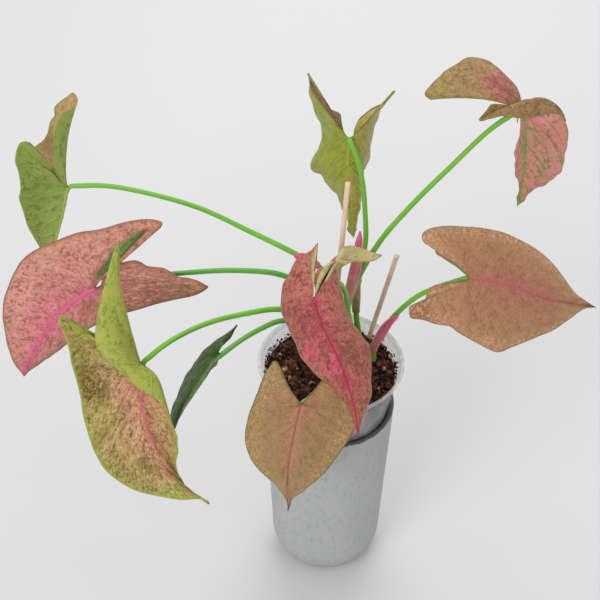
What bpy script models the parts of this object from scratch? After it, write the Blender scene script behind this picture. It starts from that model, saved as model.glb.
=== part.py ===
"""Arrowhead plant: nine long-stalked, arrow-shaped leaves growing from three short stems.

The plant grows in a clear nursery cup that hangs by its taper in the mouth of a grey stone vase,
with two wooden stakes pushed into the potting mix. Sizes below are millimetres. The origin is the
middle of the vase's flat underside, +Z is up and -Y is the side that the plant is looked at from.
"""

import math

import bpy
import numpy as np
from mathutils import Matrix, Vector

MM = 0.001
CLEARANCE = 0.35
HOLE_ROOM = 0.55

# Driving dimensions of the holder, in millimetres
VASE_HEIGHT = 145.0
VASE_TOP_RADIUS = 42.7
VASE_FOOT_RADIUS = 38.0
VASE_FLAT_RADIUS = 22.0
VASE_CURVE_HEIGHT = 25.0
VASE_WALL = 3.6
VASE_FLOOR = 7.0
VASE_SEAT_DROP = 3.5
VASE_LIP_WIDTH = 1.1
VASE_FOOT_STEPS = 5
CUP_RIM_Z = 181.0
CUP_RIM_RADIUS = 47.5
CUP_MOUTH_RADIUS = 45.4
CUP_HEIGHT = 113.0
CUP_TAPER = 0.166
CUP_WALL = 0.8
CUP_RIM_ROLL = 2.4
CUP_FOOT_BEVEL = 1.5
MIX_DEPTH = 10.0
MIX_RELIEF = 0.9
MIX_RINGS = (0.97, 0.85, 0.73, 0.61, 0.49, 0.37, 0.25, 0.12)
STAKE_HOLE_LENGTH = 60.0
ROUND_STEPS = 36

# Driving dimensions of the plant, in millimetres
BLADE_THICKNESS = 0.8
FRONT_STEPS = 9
ACROSS_STEPS = 4
STEM_RADIUS = 4.2
STEM_TOP_Z = 183.0
STEM_ROOT_Z = 140.0
PETIOLE_FOOT_Z = 174.0
PETIOLE_FOOT_RADIUS = 2.1
PETIOLE_TIP_RADIUS = 1.45
PETIOLE_STEPS = 15
PETIOLE_SIDES = 7
SHEATH_STEPS = 9
SHEATH_SIDES = 8
SPEAR_STEPS = 14

# Where each stem comes out of the mix: x, y
STEMS = {
    "left": (-4.0, 14.0),
    "middle": (14.0, 26.0),
    "right": (22.0, 12.0),
}

# Wooden stakes: foot and top of the centre line, and the diameter
STAKE_DIAMETER = 3.3
STAKES = {
    "tall": ((-2.0, 20.5, 128.0), (7.7, 36.0, 297.0)),
    "short": ((20.0, 29.0, 146.0), (40.5, 32.0, 243.0)),
}

# The furled new leaf that stands by the middle stem: points of its centre line and its radius there
SPEAR = (
    ((8.0, 15.0, 146.0), 2.2),
    ((8.0, 15.0, 176.0), 2.6),
    ((8.5, 16.0, 206.0), 2.9),
    ((12.0, 19.0, 237.0), 2.8),
    ((14.5, 22.0, 252.0), 2.5),
    ((15.7, 24.0, 262.0), 2.1),
    ((16.0, 25.0, 268.0), 0.8),
)

# Colours: red, green, blue, roughness
STONE_GREY = (0.42, 0.44, 0.46, 0.75)
CLEAR_PLASTIC = (0.80, 0.84, 0.86, 0.15)
COIR_BROWN = (0.075, 0.028, 0.018, 0.95)
PALE_WOOD = (0.72, 0.49, 0.36, 0.70)
STALK_GREEN = (0.10, 0.32, 0.05, 0.45)
STEM_GREEN = (0.16, 0.26, 0.07, 0.55)
SHEATH_PINK = (0.72, 0.16, 0.26, 0.50)
SHEATH_BROWN = (0.36, 0.22, 0.13, 0.70)
BLADE_COLOURS = {
    "salmon": (0.55, 0.20, 0.18, 0.50),
    "magenta": (0.58, 0.12, 0.20, 0.50),
    "olive": (0.34, 0.27, 0.12, 0.50),
    "lime": (0.36, 0.40, 0.09, 0.50),
    "green": (0.14, 0.28, 0.06, 0.45),
    "dark_green": (0.03, 0.12, 0.03, 0.35),
}

# Each leaf is drawn in a frame of its own. The junction of petiole and blade is the origin, +Y runs
# to the tip, +Z stands out of the upper face, and +X is the right hand side seen from above.
# "junction" and "tip" are places in the plant's frame, and "faces" is the way that the upper face looks.
# "margin" goes from beside the tip to the widest place, and "lobe" goes on round the basal lobe.
# The first half is the left one of a blade that lies flat, and the second the right one.
# "belly" lifts the blade between midrib and margin: how far round the half, then the shift.
# "sinus" is where the notch opens beside the junction, for a blade whose lobes stand apart there.
# "stem", "turn" and "route" say where the petiole leaves and which places it passes.
LEAVES = {
    "right": {
        "junction": (82, -4, 256), "tip": (173, 31, 202), "faces": (0.56, -0.62, 0.55),
        "colour": "olive", "midrib": [(2, 62, 3), (-1, 27, 3)],
        "halves": [
            {
                "margin": [(-1, 105, 1), (-3, 97, 2), (-8, 85, 2), (-18, 70, 2), (-27, 55, 0),
                           (-31, 38, -1), (-33, 22, -2), (-33, 9, -3)],
                "lobe": [(-31, -7, -5), (-28, -22, -7), (-25, -30, -8), (-22, -33, -9), (-18, -33, -9),
                         (-16, -30, -8), (-16, -26, -7), (-14, -24, -7), (-11, -23, -6),
                         (-10, -16, -4), (-7, -11, -3), (-5, -6, -2)],
                "belly": [(0, 0, 0, 0), (0.5, 0, -1, 2), (1.5, 0, -1, 2), (1.8, 0, 0, 1), (2, 0, 0, 0)],
                "sinus": (-2, -2, 0),
            },
            {
                "margin": [(1, 105, 1), (3, 99, 2), (11, 87, 2), (22, 71, 2), (30, 55, 1), (36, 42, 0),
                           (41, 29, -1)],
                "lobe": [(38, 16, -2), (35, 4, -2), (33, -3, -2), (31, -8, -2), (31, -18, -4),
                         (30, -26, -5), (30, -30, -6), (30, -35, -7), (27, -37, -7), (23, -37, -7),
                         (22, -35, -6), (21, -31, -6), (20, -28, -5), (16, -28, -4), (11, -26, -4),
                         (8, -23, -3), (6, -17, -2), (4, -8, -1)],
                "belly": [(0, 0, 0, 0), (0.5, 0, -2, 2), (1.3, 0, -1, 2), (1.6, 0, 0, 1), (2, 0, 0, 0)],
                "sinus": (2, -2, 0),
            },
        ],
        "stem": "right", "turn": 330,
        "route": [(28, 8, 187), (33, 8, 200), (40, 6, 216), (53, 1, 237), (66, -2, 248)],
    },
    "front": {
        "junction": (-19, -66, 208), "tip": (-26, -101, 151), "faces": (0.0, -0.85, 0.52),
        "colour": "olive", "midrib": [(3, 39, 3), (2, 16, 2)],
        "halves": [
            {
                "margin": [(-1, 63, 0), (-2, 58, 1), (-8, 53, 0), (-17, 43, 0), (-25, 31, -2), (-32, 17, -4)],
                "lobe": [(-35, 6, -5), (-34, -4, -5), (-28, -16, -3), (-22, -24, -1), (-17, -26, -1), (-14, -23, 1)],
                "belly": [(0, 0, 0, 0), (0.5, 0, 0, 2), (1.6, 0, 0, 1), (2, 0, 1, 0)],
            },
            {
                "margin": [(1, 63, 0), (4, 57, 1), (9, 52, 0), (17, 46, 0), (26, 38, -2), (31, 26, -4)],
                "lobe": [(31, 15, -6), (28, 2, -8), (25, -10, -9), (22, -18, -9), (19, -23, -8), (15, -21, -4)],
                "belly": [(0, 0, 0, 0), (0.5, 0, 0, 2), (1.6, 0, 0, 1), (2, 1, 1, 0)],
            },
        ],
        "stem": "right", "turn": 240,
        "route": [(22, -7, 200), (18, -27, 214), (4, -48, 216)],
    },
    "centre": {
        "junction": (-12, -31, 260), "tip": (15, -88, 205), "faces": (0.02, -0.76, 0.65),
        "colour": "magenta", "midrib": [(-3, 64, 4), (-3, 39, 3), (0, 16, 1)],
        "halves": [
            {
                "margin": [(-4, 77, 1), (-9, 70, 0), (-15, 62, -1), (-19, 51, -4), (-22, 38, -6),
                           (-21, 27, -8), (-18, 18, -9)],
                "lobe": [(-16, 8, -9), (-17, -1, -10), (-18, -10, -10), (-21, -16, -10),
                         (-25, -25, -10), (-28, -26, -11), (-33, -25, -13), (-40, -21, -16),
                         (-45, -17, -17), (-48, -15, -18), (-42, -13, -16), (-36, -14, -14),
                         (-29, -16, -11), (-23, -16, -8), (-22, -22, -7), (-17, -20, -6),
                         (-13, -17, -4), (-9, -18, -3), (-6, -15, -2), (-4, -9, -1)],
                "belly": [(0, 0, 0, 0), (0.5, -1, 0, 4), (1, -1, 0, 5), (1.33, 0, 0, 3),
                          (1.43, 2, -2, 1), (1.52, 7, -6, 1), (1.57, 5, -8, 2), (1.68, 2, -9, 3),
                          (1.73, -2, -7, 3), (1.78, -1, -2, 2), (2, 0, 0, 0)],
                "sinus": (-2, -4, 0),
            },
            {
                "margin": [(1, 76, 0), (1, 64, -2), (5, 55, -4), (12, 43, -6), (17, 30, -8),
                           (19, 19, -11), (20, 9, -12)],
                "lobe": [(20, 0, -13), (18, -9, -13), (15, -16, -12), (11, -20, -11), (7, -24, -11),
                         (1, -28, -10), (-3, -29, -9), (-8, -30, -8), (-13, -33, -7), (-10, -29, -6),
                         (-7, -26, -5), (-6, -23, -5), (-6, -19, -3), (-5, -14, -2), (-2, -9, -2)],
                "belly": [(0, 0, 0, 0), (0.5, 0, 0, 4), (1, 1, 0, 5), (1.6, 0, 0, 3), (2, 0, 0, 0)],
                "sinus": (0, -4, 0),
            },
        ],
        "stem": "middle", "turn": 290,
        "route": [(15, 12, 190), (11, 5, 212), (7, -2, 242), (2, -11, 257), (-5, -21, 262)],
    },
    "left_large": {
        "junction": (-145, -8, 247), "tip": (-197, -13, 175), "faces": (-0.37, -0.87, 0.33),
        "colour": "salmon", "midrib": [(5, 59, 5), (6, 35, 6), (5, 14, 4)],
        "halves": [
            {
                "margin": [(-1, 79, 2), (-4, 67, 2), (-7, 51, 2), (-11, 34, 1), (-14, 21, -1)],
                "lobe": [(-18, 10, -3), (-25, -3, -6), (-32, -16, -8), (-40, -28, -12),
                         (-47, -38, -15), (-49, -44, -16), (-49, -47, -17), (-46, -47, -16),
                         (-41, -45, -16), (-37, -43, -15), (-32, -39, -14), (-27, -38, -14),
                         (-21, -36, -14), (-17, -33, -13), (-13, -30, -12), (-9, -29, -12),
                         (-5, -27, -11), (-1, -22, -8), (2, -18, -6), (4, -14, -4), (2, -8, -2)],
                "belly": [(0, 0, 0, 0), (0.5, 0, -1, 3), (1.4, 0, -2, 3), (1.8, 0, -1, 2),
                          (2, 0, 0, 0)],
                "sinus": (-1, -3, -1),
            },
            {
                "margin": [(8, 86, 2), (20, 78, 3), (32, 66, 4), (40, 54, 3), (45, 40, 2), (47, 26, 0),
                           (45, 13, -3)],
                "lobe": [(39, -1, -6), (32, -14, -9), (23, -26, -11), (14, -41, -15), (7, -49, -19),
                         (1, -53, -21), (-2, -54, -21), (-3, -52, -20), (-2, -49, -19), (1, -46, -17),
                         (3, -46, -13), (5, -41, -10), (6, -35, -7), (8, -30, -5), (6, -24, -4),
                         (6, -18, -3), (6, -12, -1), (6, -8, -1)],
                "belly": [(0, 0, 0, 0), (0.5, 0, -2, 3), (1.4, 0, -1, 3), (1.8, 0, 0, 1), (2, 0, 0, 0)],
                "sinus": (3, -2, 0),
            },
        ],
        "stem": "left", "turn": 165,
        "route": [(-16, 14, 226), (-31, 10, 244), (-61, 5, 252), (-97, 0, 253), (-126, -1, 249)],
    },
    "left_front": {
        "junction": (-113, -63, 237), "tip": (-75, -85, 138), "faces": (0.02, -0.97, 0.22),
        "colour": "lime", "midrib": [(14, 79, 2), (15, 55, 1), (13, 34, 0), (8, 15, 0)],
        "halves": [
            {
                "margin": [(5, 101, -1), (10, 91, -1), (9, 78, 0), (2, 61, 4), (-4, 41, 8)],
                "lobe": [(-4, 21, 12), (3, 5, 15), (11, -15, 16), (14, -27, 16), (7, -44, 15),
                         (-4, -60, 11), (-19, -78, 3), (-17, -70, 3)],
                "belly": [(0, 0, 0, 0), (0.5, -1, 2, -3), (0.8, -2, 2, -2), (1, -2, 1, 0),
                          (1.2, -8, -1, 4), (1.5, -5, 0, 8), (1.8, -1, -3, 5), (2, 4, -2, 2)],
            },
            {
                "margin": [(4, 103, 0), (15, 98, 2), (28, 88, 4), (37, 80, 5), (44, 70, 5),
                           (48, 58, 6), (49, 46, 5), (48, 34, 5)],
                "lobe": [(45, 18, 3), (42, 8, 2), (39, -5, 2), (38, -15, 1), (35, -24, 2),
                         (34, -31, 1), (33, -37, 1), (33, -43, 1), (31, -46, 0), (29, -46, 0),
                         (28, -43, -1), (28, -38, -1), (28, -33, -1), (26, -30, -1), (23, -30, -1),
                         (20, -26, -1), (19, -22, -1)],
                "belly": [(0, 0, 0, 0), (0.5, 1, 2, -4), (1, 1, 3, -6), (1.6, 1, 3, -6),
                          (1.8, 1, 2, -3), (2, 0, 1, -1)],
            },
        ],
        "stem": "left", "turn": 235,
        "route": [(-13, 3, 210), (-31, -6, 230), (-57, -20, 238), (-80, -38, 245), (-99, -54, 245)],
    },
    "left_narrow": {
        "junction": (-69, -54, 238), "tip": (-103, -50, 149), "faces": (0.01, -1.0, -0.05),
        "colour": "dark_green", "midrib": [(4, 53, 1), (3, 35, 1), (1, 15, 1)],
        "halves": [
            {
                "margin": [(7, 71, 5), (13, 44, 13), (16, 18, 17), (16, -1, 19)],
                "lobe": [(15, -13, 19), (11, -23, 17), (7, -29, 14), (2, -31, 10), (-1, -33, 6),
                         (-2, -18, 3)],
                "belly": [(0, 0, 0, 0), (0.5, -1, 3, -4), (1, -1, 4, -4), (2, 0, 2, -2)],
            },
            {
                "margin": [(1, 87, -6), (-1, 77, -13), (-3, 66, -17), (-5, 51, -18)],
                "lobe": [(-6, 36, -17), (-7, 24, -14), (-6, 14, -11), (-2, 5, -7)],
                "belly": [(0, 0, 0, 0), (0.5, 1, -3, 4), (1, 1, -4, 5), (2, 1, -2, 2)],
            },
        ],
        "stem": "left", "turn": 285,
        "route": [(-9, -3, 212), (-31, -15, 229), (-43, -27, 234), (-56, -43, 238)],
    },
    "back_left": {
        "junction": (-171, 70, 265), "tip": (-191, 72, 197), "faces": (0.0, -1.0, -0.03),
        "colour": "green", "midrib": [(-1, 41, 1), (-1, 17, 0)],
        "halves": [
            {
                "margin": [(5, 61, 2), (11, 51, 3), (15, 44, 4), (20, 35, 5), (24, 25, 5), (28, 14, 6),
                           (29, 4, 6)],
                "lobe": [(32, -6, 5), (35, -13, 4), (36, -21, 1), (35, -25, -1), (32, -27, -2),
                         (28, -25, -3), (27, -20, -4), (24, -14, -4), (19, -10, -3), (12, -7, -2),
                         (7, -2, -1)],
                "belly": [(0, 0, 0, 0), (0.5, -2, 3, -4), (1, -2, 4, -5), (1.6, -1, 3, -4),
                          (2, 0, 0, -1)],
                "sinus": (2, 1, 0),
            },
            {
                "margin": [(3, 65, -6), (8, 59, -14), (14, 49, -19), (20, 36, -23)],
                "lobe": [(25, 19, -26), (27, 4, -27), (26, -5, -26), (22, -12, -25), (20, -20, -24),
                         (20, -30, -23), (18, -38, -21), (19, -44, -21), (17, -50, -19),
                         (13, -57, -17), (10, -62, -16), (7, -61, -14), (6, -56, -13), (9, -52, -12),
                         (13, -50, -9), (15, -44, -8), (16, -36, -7), (15, -26, -6), (13, -15, -4),
                         (10, -7, -3), (7, -4, -2)],
                "belly": [(0, 0, 0, 0), (0.5, -3, 6, -7), (1, -4, 7, -9), (1.3, -2, 7, -8),
                          (1.45, 2, 7, -7), (1.6, 4, 6, -6), (1.7, 1, 4, -4), (1.8, 0, 2, -2),
                          (2, 0, 0, 0)],
                "sinus": (1, 0, 0),
            },
        ],
        "stem": "middle", "turn": 108,
        "route": [(4, 38, 204), (-8, 39, 226), (-23, 40, 236), (-53, 49, 247), (-85, 57, 259),
                  (-118, 64, 265), (-147, 69, 267)],
    },
    "back": {
        "junction": (9, 74, 303), "tip": (14, 61, 233), "faces": (0.01, -0.98, 0.18),
        "colour": "green", "midrib": [(1, 49, 1), (2, 23, 1)],
        "halves": [
            {
                "margin": [(3, 67, -2), (4, 60, -5), (7, 51, -8), (12, 42, -12), (19, 33, -15),
                           (25, 25, -18)],
                "lobe": [(21, 15, -18), (18, 7, -18), (18, -3, -18), (20, -11, -17), (22, -18, -16),
                         (24, -25, -16), (24, -33, -15), (24, -40, -14), (23, -31, -13),
                         (21, -24, -13), (19, -21, -13), (16, -23, -12), (16, -19, -12),
                         (12, -16, -11), (6, -13, -10), (5, -10, -9), (5, -5, -6), (7, -3, -4)],
                "belly": [(0, 0, 0, 0), (0.5, 0, -3, 5), (1, 0, -4, 6), (1.6, 0, -3, 4),
                          (1.85, 0, -1, 2), (2, 0, 0, 0)],
                "sinus": (3, -1, -1),
            },
            {
                "margin": [(-1, 68, -3), (-3, 63, -9), (-5, 55, -15), (-7, 46, -19), (-9, 36, -23),
                           (-12, 27, -24)],
                "lobe": [(-14, 20, -25), (-16, 10, -25), (-18, 0, -24), (-20, -7, -23),
                         (-23, -11, -22), (-26, -15, -21), (-29, -20, -19), (-30, -24, -17),
                         (-27, -19, -16), (-23, -17, -15), (-18, -16, -13), (-14, -14, -11),
                         (-11, -12, -10), (-7, -9, -8), (-4, -6, -5), (-3, -3, -3)],
                "belly": [(0, 0, 0, 0), (0.5, -3, -4, 6), (1, -3, -4, 7), (1.5, -1, -3, 5),
                          (1.8, 0, -1, 2), (2, 0, 0, 0)],
                "sinus": (-3, -1, -1),
            },
        ],
        "stem": "middle", "turn": 48,
        "route": [(16, 36, 209), (19, 42, 229), (21, 47, 243), (20, 55, 261), (18, 62, 278),
                  (14, 67, 293)],
    },
    "right_high": {
        "junction": (105, 38, 352), "tip": (112, 32, 284), "faces": (0.01, -1.0, 0.09),
        "colour": "salmon", "midrib": [(-4, 44, 0), (-5, 26, 0), (-5, 10, 0)],
        "halves": [
            {
                "margin": [(-1, 59, -2), (0, 49, -5), (1, 41, -8), (-1, 32, -11), (-3, 25, -13)],
                "lobe": [(-4, 15, -15), (-2, 4, -17), (1, -4, -23), (7, -12, -27), (15, -17, -30),
                         (26, -19, -30), (38, -16, -26), (53, -7, -12), (50, -5, -9)],
                "belly": [(0, 0, 0, 0), (0.5, 0, -2, 2), (1, -1, -2, 2), (1.5, -3, -3, 5),
                          (2, -2, -3, 0)],
            },
            {
                "margin": [(-4, 65, -1), (-11, 59, -2), (-19, 54, -2), (-25, 51, -3), (-28, 43, -4),
                           (-30, 32, -4)],
                "lobe": [(-30, 20, -3), (-27, 9, 0), (-20, 3, 4), (-10, 2, 9), (0, 1, 10), (9, -1, 10),
                         (17, 1, 8), (23, 4, 4), (16, -5, 2)],
                "belly": [(0, 0, 0, 0), (0.5, 0, -3, 4), (1, 0, -5, 4), (1.25, -4, -9, 3),
                          (1.5, -3, -9, 1), (1.8, 0, -4, 1), (2, 0, -1, 0)],
            },
        ],
        "stem": "middle", "turn": 205,
        "route": [(9, 24, 205), (27, 29, 253), (46, 33, 281), (69, 36, 310), (91, 39, 336)],
    },
}

# Sheaths that hug a petiole: the leaf, the shares of its length, the side that they lie on, the radius
SHEATHS = {
    "right": ("right", 0.08, 0.5, (0.3, -1.0, 0.3), 1.0, SHEATH_PINK),
    "back_left": ("back_left", 0.26, 0.36, (-0.1, -1.0, 0.3), 1.3, SHEATH_PINK),
    "right_high": ("right_high", 0.16, 0.33, (-1.0, 0.5, 0.0), 1.2, SHEATH_PINK),
    "old": ("back", 0.1, 0.26, (0.9, -1.0, 0.0), 0.7, SHEATH_BROWN),
}


def clear_scene():
    """Remove every object, so that the script starts from an empty scene."""
    for obj in list(bpy.data.objects):
        bpy.data.objects.remove(obj)


def make_material(name, colour):
    """A plain Principled material of one colour and roughness."""
    material = bpy.data.materials.get(name) or bpy.data.materials.new(name)
    material.use_nodes = True
    shader = material.node_tree.nodes["Principled BSDF"]
    shader.inputs["Base Color"].default_value = (*colour[:3], 1.0)
    shader.inputs["Roughness"].default_value = colour[3]
    material.diffuse_color = (*colour[:3], 1.0)
    return material


def make_object(name, points, faces, material):
    """An object from points in millimetres and faces, smooth apart from sharp edges."""
    mesh = bpy.data.meshes.new(name)
    scaled = [tuple(float(value) * MM for value in point) for point in points]
    mesh.from_pydata(scaled, [], [tuple(int(i) for i in face) for face in faces])
    mesh.materials.append(material)
    mesh.shade_smooth()
    mesh.set_sharp_from_angle(angle=math.radians(40.0))
    obj = bpy.data.objects.new(name, mesh)
    bpy.context.scene.collection.objects.link(obj)
    return obj


def smooth_curve(points, shares, knots=None):
    """Points on a smooth curve through the given points, at shares of its length or at its own knots."""
    given = np.asarray(points, float)
    if knots is None:
        knots = np.concatenate([[0.0], np.cumsum(np.sqrt(np.linalg.norm(np.diff(given, axis=0), axis=1)))])
        knots = knots / knots[-1]
    spans = np.diff(knots)
    slopes = np.diff(given, axis=0) / spans[:, None]
    tangents = np.zeros_like(given)
    before, after = spans[:-1, None], spans[1:, None]
    tangents[1:-1] = (slopes[:-1] * after + slopes[1:] * before) / (before + after)
    tangents[0] = 1.5 * slopes[0] - 0.5 * tangents[1]
    tangents[-1] = 1.5 * slopes[-1] - 0.5 * tangents[-2]
    shares = np.clip(shares, knots[0], knots[-1])
    i = np.clip(np.searchsorted(knots, shares, side="right") - 1, 0, len(given) - 2)
    span = spans[i][:, None]
    u = ((shares - knots[i]) / spans[i])[:, None]
    return (
        (2 * u**3 - 3 * u**2 + 1) * given[i]
        + (u**3 - 2 * u**2 + u) * span * tangents[i]
        + (3 * u**2 - 2 * u**3) * given[i + 1]
        + (u**3 - u**2) * span * tangents[i + 1]
    )


def turned_solid(profile, steps=ROUND_STEPS):
    """Points and faces of a closed outline of (radius, z) turned about the Z axis.

    The outline runs from the axis at the bottom, up the outside and back to the axis.
    """
    rings = [(radius, z) for radius, z in profile if radius > 0.0]
    turns = [2 * math.pi * k / steps for k in range(steps)]
    points = [(radius * math.cos(a), radius * math.sin(a), z) for radius, z in rings for a in turns]
    faces = []
    for i in range(len(rings) - 1):
        for k in range(steps):
            low, low_next = i * steps + k, i * steps + (k + 1) % steps
            faces.append((low, low_next, low_next + steps, low + steps))
    for ring, z, outward in ((0, profile[0][1], -1), (len(rings) - 1, profile[-1][1], 1)):
        centre = len(points)
        points.append((0.0, 0.0, z))
        for k in range(steps):
            here, there = ring * steps + k, ring * steps + (k + 1) % steps
            faces.append((centre, here, there) if outward > 0 else (centre, there, here))
    return points, faces


def tube(centres, radii, sides):
    """Points and faces of a round tube with closed ends along centre points, one radius each."""
    centres = np.asarray(centres, float)
    along = np.gradient(centres, axis=0)
    along /= np.linalg.norm(along, axis=1)[:, None]
    side = np.cross(along[0], (0.3, 1.0, 0.1))
    points = []
    for centre, direction, radius in zip(centres, along, radii):
        side = side - side.dot(direction) * direction
        side /= np.linalg.norm(side)
        other = np.cross(direction, side)
        for k in range(sides):
            turn = 2 * math.pi * k / sides
            points.append(centre + radius * (math.cos(turn) * side + math.sin(turn) * other))
    faces = []
    for i in range(len(centres) - 1):
        for k in range(sides):
            a, b = i * sides + k, i * sides + (k + 1) % sides
            faces.append((a, b, b + sides, a + sides))
    faces.append(tuple(range(sides))[::-1])
    faces.append(tuple((len(centres) - 1) * sides + k for k in range(sides)))
    return points, faces


def leaf_axes(leaf):
    """The leaf's own axes as rows: across, along and out of the upper face."""
    along = np.subtract(leaf["tip"], leaf["junction"]).astype(float)
    along /= np.linalg.norm(along)
    out = np.array(leaf["faces"], float)
    out -= out.dot(along) * along
    out /= np.linalg.norm(out)
    return np.stack([np.cross(along, out), along, out])


def half_blade(leaf, half):
    """Grid of points of one half of a blade: rows run from the tip round to the notch.

    Up to the widest place, which counts as 1, a row is a straight line from midrib to margin. Past
    it, rows fan out to the lobe's drawn points, and the last row, at 2, is the edge of the notch.
    Their root slides from the junction to the sinus. The belly is added as a parabola across each row.
    """
    length = np.linalg.norm(np.subtract(leaf["tip"], leaf["junction"]))
    tip = (0.0, length, 0.0)
    outline = np.array([tip, *half["margin"], *half["lobe"]], float)
    widest = len(half["margin"])
    knots = np.concatenate([[0.0], np.cumsum(np.sqrt(np.linalg.norm(np.diff(outline, axis=0), axis=1)))])
    middle, end = knots[widest], knots[-1]
    knots = np.where(knots <= middle, knots / middle, 1.0 + (knots - middle) / (end - middle))
    place = np.concatenate([np.linspace(0.0, 1.0, FRONT_STEPS + 1), knots[widest + 1:]])
    edge = smooth_curve(outline, place, knots)
    spine = smooth_curve([tip, *leaf["midrib"], (0.0, 0.0, 0.0)], place)
    past = np.clip(place - 1.0, 0.0, 1.0)
    slid = past * past * (3.0 - 2.0 * past)
    root = spine + slid[:, None] * np.array(half.get("sinus", (0.0, 0.0, 0.0)))

    belly = np.array(half["belly"], float)
    shift = np.stack([np.interp(place, belly[:, 0], belly[:, axis]) for axis in (1, 2, 3)], axis=1)
    t = np.linspace(0.0, 1.0, ACROSS_STEPS + 1)[None, :, None]
    return root[:, None] * (1 - t) + edge[:, None] * t + shift[:, None] * 4 * t * (1 - t)


def blade_surface(leaf):
    """Middle surface of a blade: both halves welded along the midrib, as points and triangles."""
    points, triangles, count = [], [], 0
    for half in leaf["halves"]:
        grid = half_blade(leaf, half)
        rows, columns = grid.shape[:2]
        index = np.arange(rows * columns).reshape(rows, columns) + count
        a, b = index[:-1, :-1].ravel(), index[1:, :-1].ravel()
        c, d = index[1:, 1:].ravel(), index[:-1, 1:].ravel()
        half_triangles = np.concatenate([np.stack([a, b, c], axis=1), np.stack([a, c, d], axis=1)])
        triangles.append(half_triangles[:, ::-1] if half is leaf["halves"][0] else half_triangles)
        points.append(grid.reshape(-1, 3))
        count += rows * columns
    points, triangles = np.vstack(points), np.vstack(triangles)
    _, first, merged = np.unique(np.round(points, 4), axis=0, return_index=True, return_inverse=True)
    triangles = merged.reshape(-1)[triangles]
    a, b, c = triangles.T
    return points[first], triangles[(a != b) & (b != c) & (a != c)]


def surface_normals(points, triangles):
    """Area-weighted normal at each point of a triangle mesh."""
    corner = points[triangles]
    flat = np.cross(corner[:, 1] - corner[:, 0], corner[:, 2] - corner[:, 0])
    normals = np.zeros_like(points)
    for k in range(3):
        np.add.at(normals, triangles[:, k], flat)
    return normals / np.linalg.norm(normals, axis=1)[:, None]


def thicken(points, triangles, thickness):
    """A closed sheet about a middle surface, split alike on both faces, with a rim between them."""
    normals = surface_normals(points, triangles)
    count = len(points)
    both = np.vstack([points + normals * thickness / 2, points - normals * thickness / 2])
    faces = [tuple(face) for face in triangles]
    faces += [tuple(face[::-1] + count) for face in triangles]
    edges = {}
    for face in triangles:
        for k in range(3):
            edges[(face[k], face[(k + 1) % 3])] = True
    for start, end in edges:
        if (end, start) not in edges:
            faces.append((end, start, start + count))
            faces.append((end, start + count, end + count))
    return both, faces


def petiole_line(leaf, normal):
    """Centre points and radii of a petiole, from beside its stem to just under the junction."""
    stem_x, stem_y = STEMS[leaf["stem"]]
    turn = math.radians(leaf["turn"])
    reach = STEM_RADIUS + PETIOLE_FOOT_RADIUS + CLEARANCE
    foot = (stem_x + reach * math.cos(turn), stem_y + reach * math.sin(turn), PETIOLE_FOOT_Z)
    junction = np.array(leaf["junction"], float)
    arrival = junction - leaf["route"][-1]
    arrival /= np.linalg.norm(arrival)
    tilt = math.sqrt(max(0.0, 1.0 - arrival.dot(normal) ** 2))
    drop = BLADE_THICKNESS / 2 + 2 * CLEARANCE + PETIOLE_TIP_RADIUS * tilt
    shares = np.linspace(0.0, 1.0, PETIOLE_STEPS + 1)
    centres = smooth_curve([foot, *leaf["route"], junction - normal * drop], shares)
    radii = PETIOLE_FOOT_RADIUS + (PETIOLE_TIP_RADIUS - PETIOLE_FOOT_RADIUS) * shares**0.7
    return centres, radii


def make_leaf(name, leaf):
    """The blade, placed by its junction and axes, and the petiole that carries it."""
    points, triangles = blade_surface(leaf)
    axes = leaf_axes(leaf)
    colour = leaf["colour"]
    blade = make_object(
        f"blade_{name}", *thicken(points, triangles, BLADE_THICKNESS),
        make_material(f"blade_{colour}", BLADE_COLOURS[colour]),
    )
    turned = Matrix([tuple(row) for row in axes]).transposed()
    blade.rotation_euler = turned.to_euler()
    blade.location = Vector(leaf["junction"]) * MM

    junction_row = int(np.argmin(np.linalg.norm(points, axis=1)))
    normal = surface_normals(points, triangles)[junction_row] @ axes
    centres, radii = petiole_line(leaf, normal)
    make_object(f"petiole_{name}", *tube(centres, radii, PETIOLE_SIDES), make_material("stalk", STALK_GREEN))
    return centres, radii


def make_sheath(name, centres, radii, sheath):
    """A pointed sheath that lies along one side of a petiole."""
    _, start, end, side, radius, colour = sheath
    shares = np.linspace(start, end, SHEATH_STEPS)
    own = np.linspace(0.0, 1.0, SHEATH_STEPS)
    swell = radius * np.clip(1.25 * (1.0 - own**2.2), 0.12, 1.0)
    line = smooth_curve(centres, shares)
    along = np.gradient(line, axis=0)
    along /= np.linalg.norm(along, axis=1)[:, None]
    out = np.array(side, float) - (along @ np.array(side, float))[:, None] * along
    out /= np.linalg.norm(out, axis=1)[:, None]
    inner = np.interp(shares, np.linspace(0.0, 1.0, len(radii)), radii)
    line = line + out * (inner + swell + CLEARANCE)[:, None]
    make_object(f"sheath_{name}", *tube(line, swell, SHEATH_SIDES), make_material(f"sheath_{name}", colour))


def make_stem(name, place):
    """A short upright stem with a blunt top, standing in its hole in the mix."""
    dome = [(STEM_RADIUS * math.cos(a), STEM_TOP_Z + 0.6 * STEM_RADIUS * math.sin(a))
            for a in (0.0, math.pi / 6, math.pi / 3)]
    top_z = STEM_TOP_Z + 0.6 * STEM_RADIUS
    profile = [(0.0, STEM_ROOT_Z), (STEM_RADIUS, STEM_ROOT_Z), *dome, (0.0, top_z)]
    stem = make_object(f"stem_{name}", *turned_solid(profile, 12), make_material("stem", STEM_GREEN))
    stem.location = (place[0] * MM, place[1] * MM, 0.0)


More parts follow.
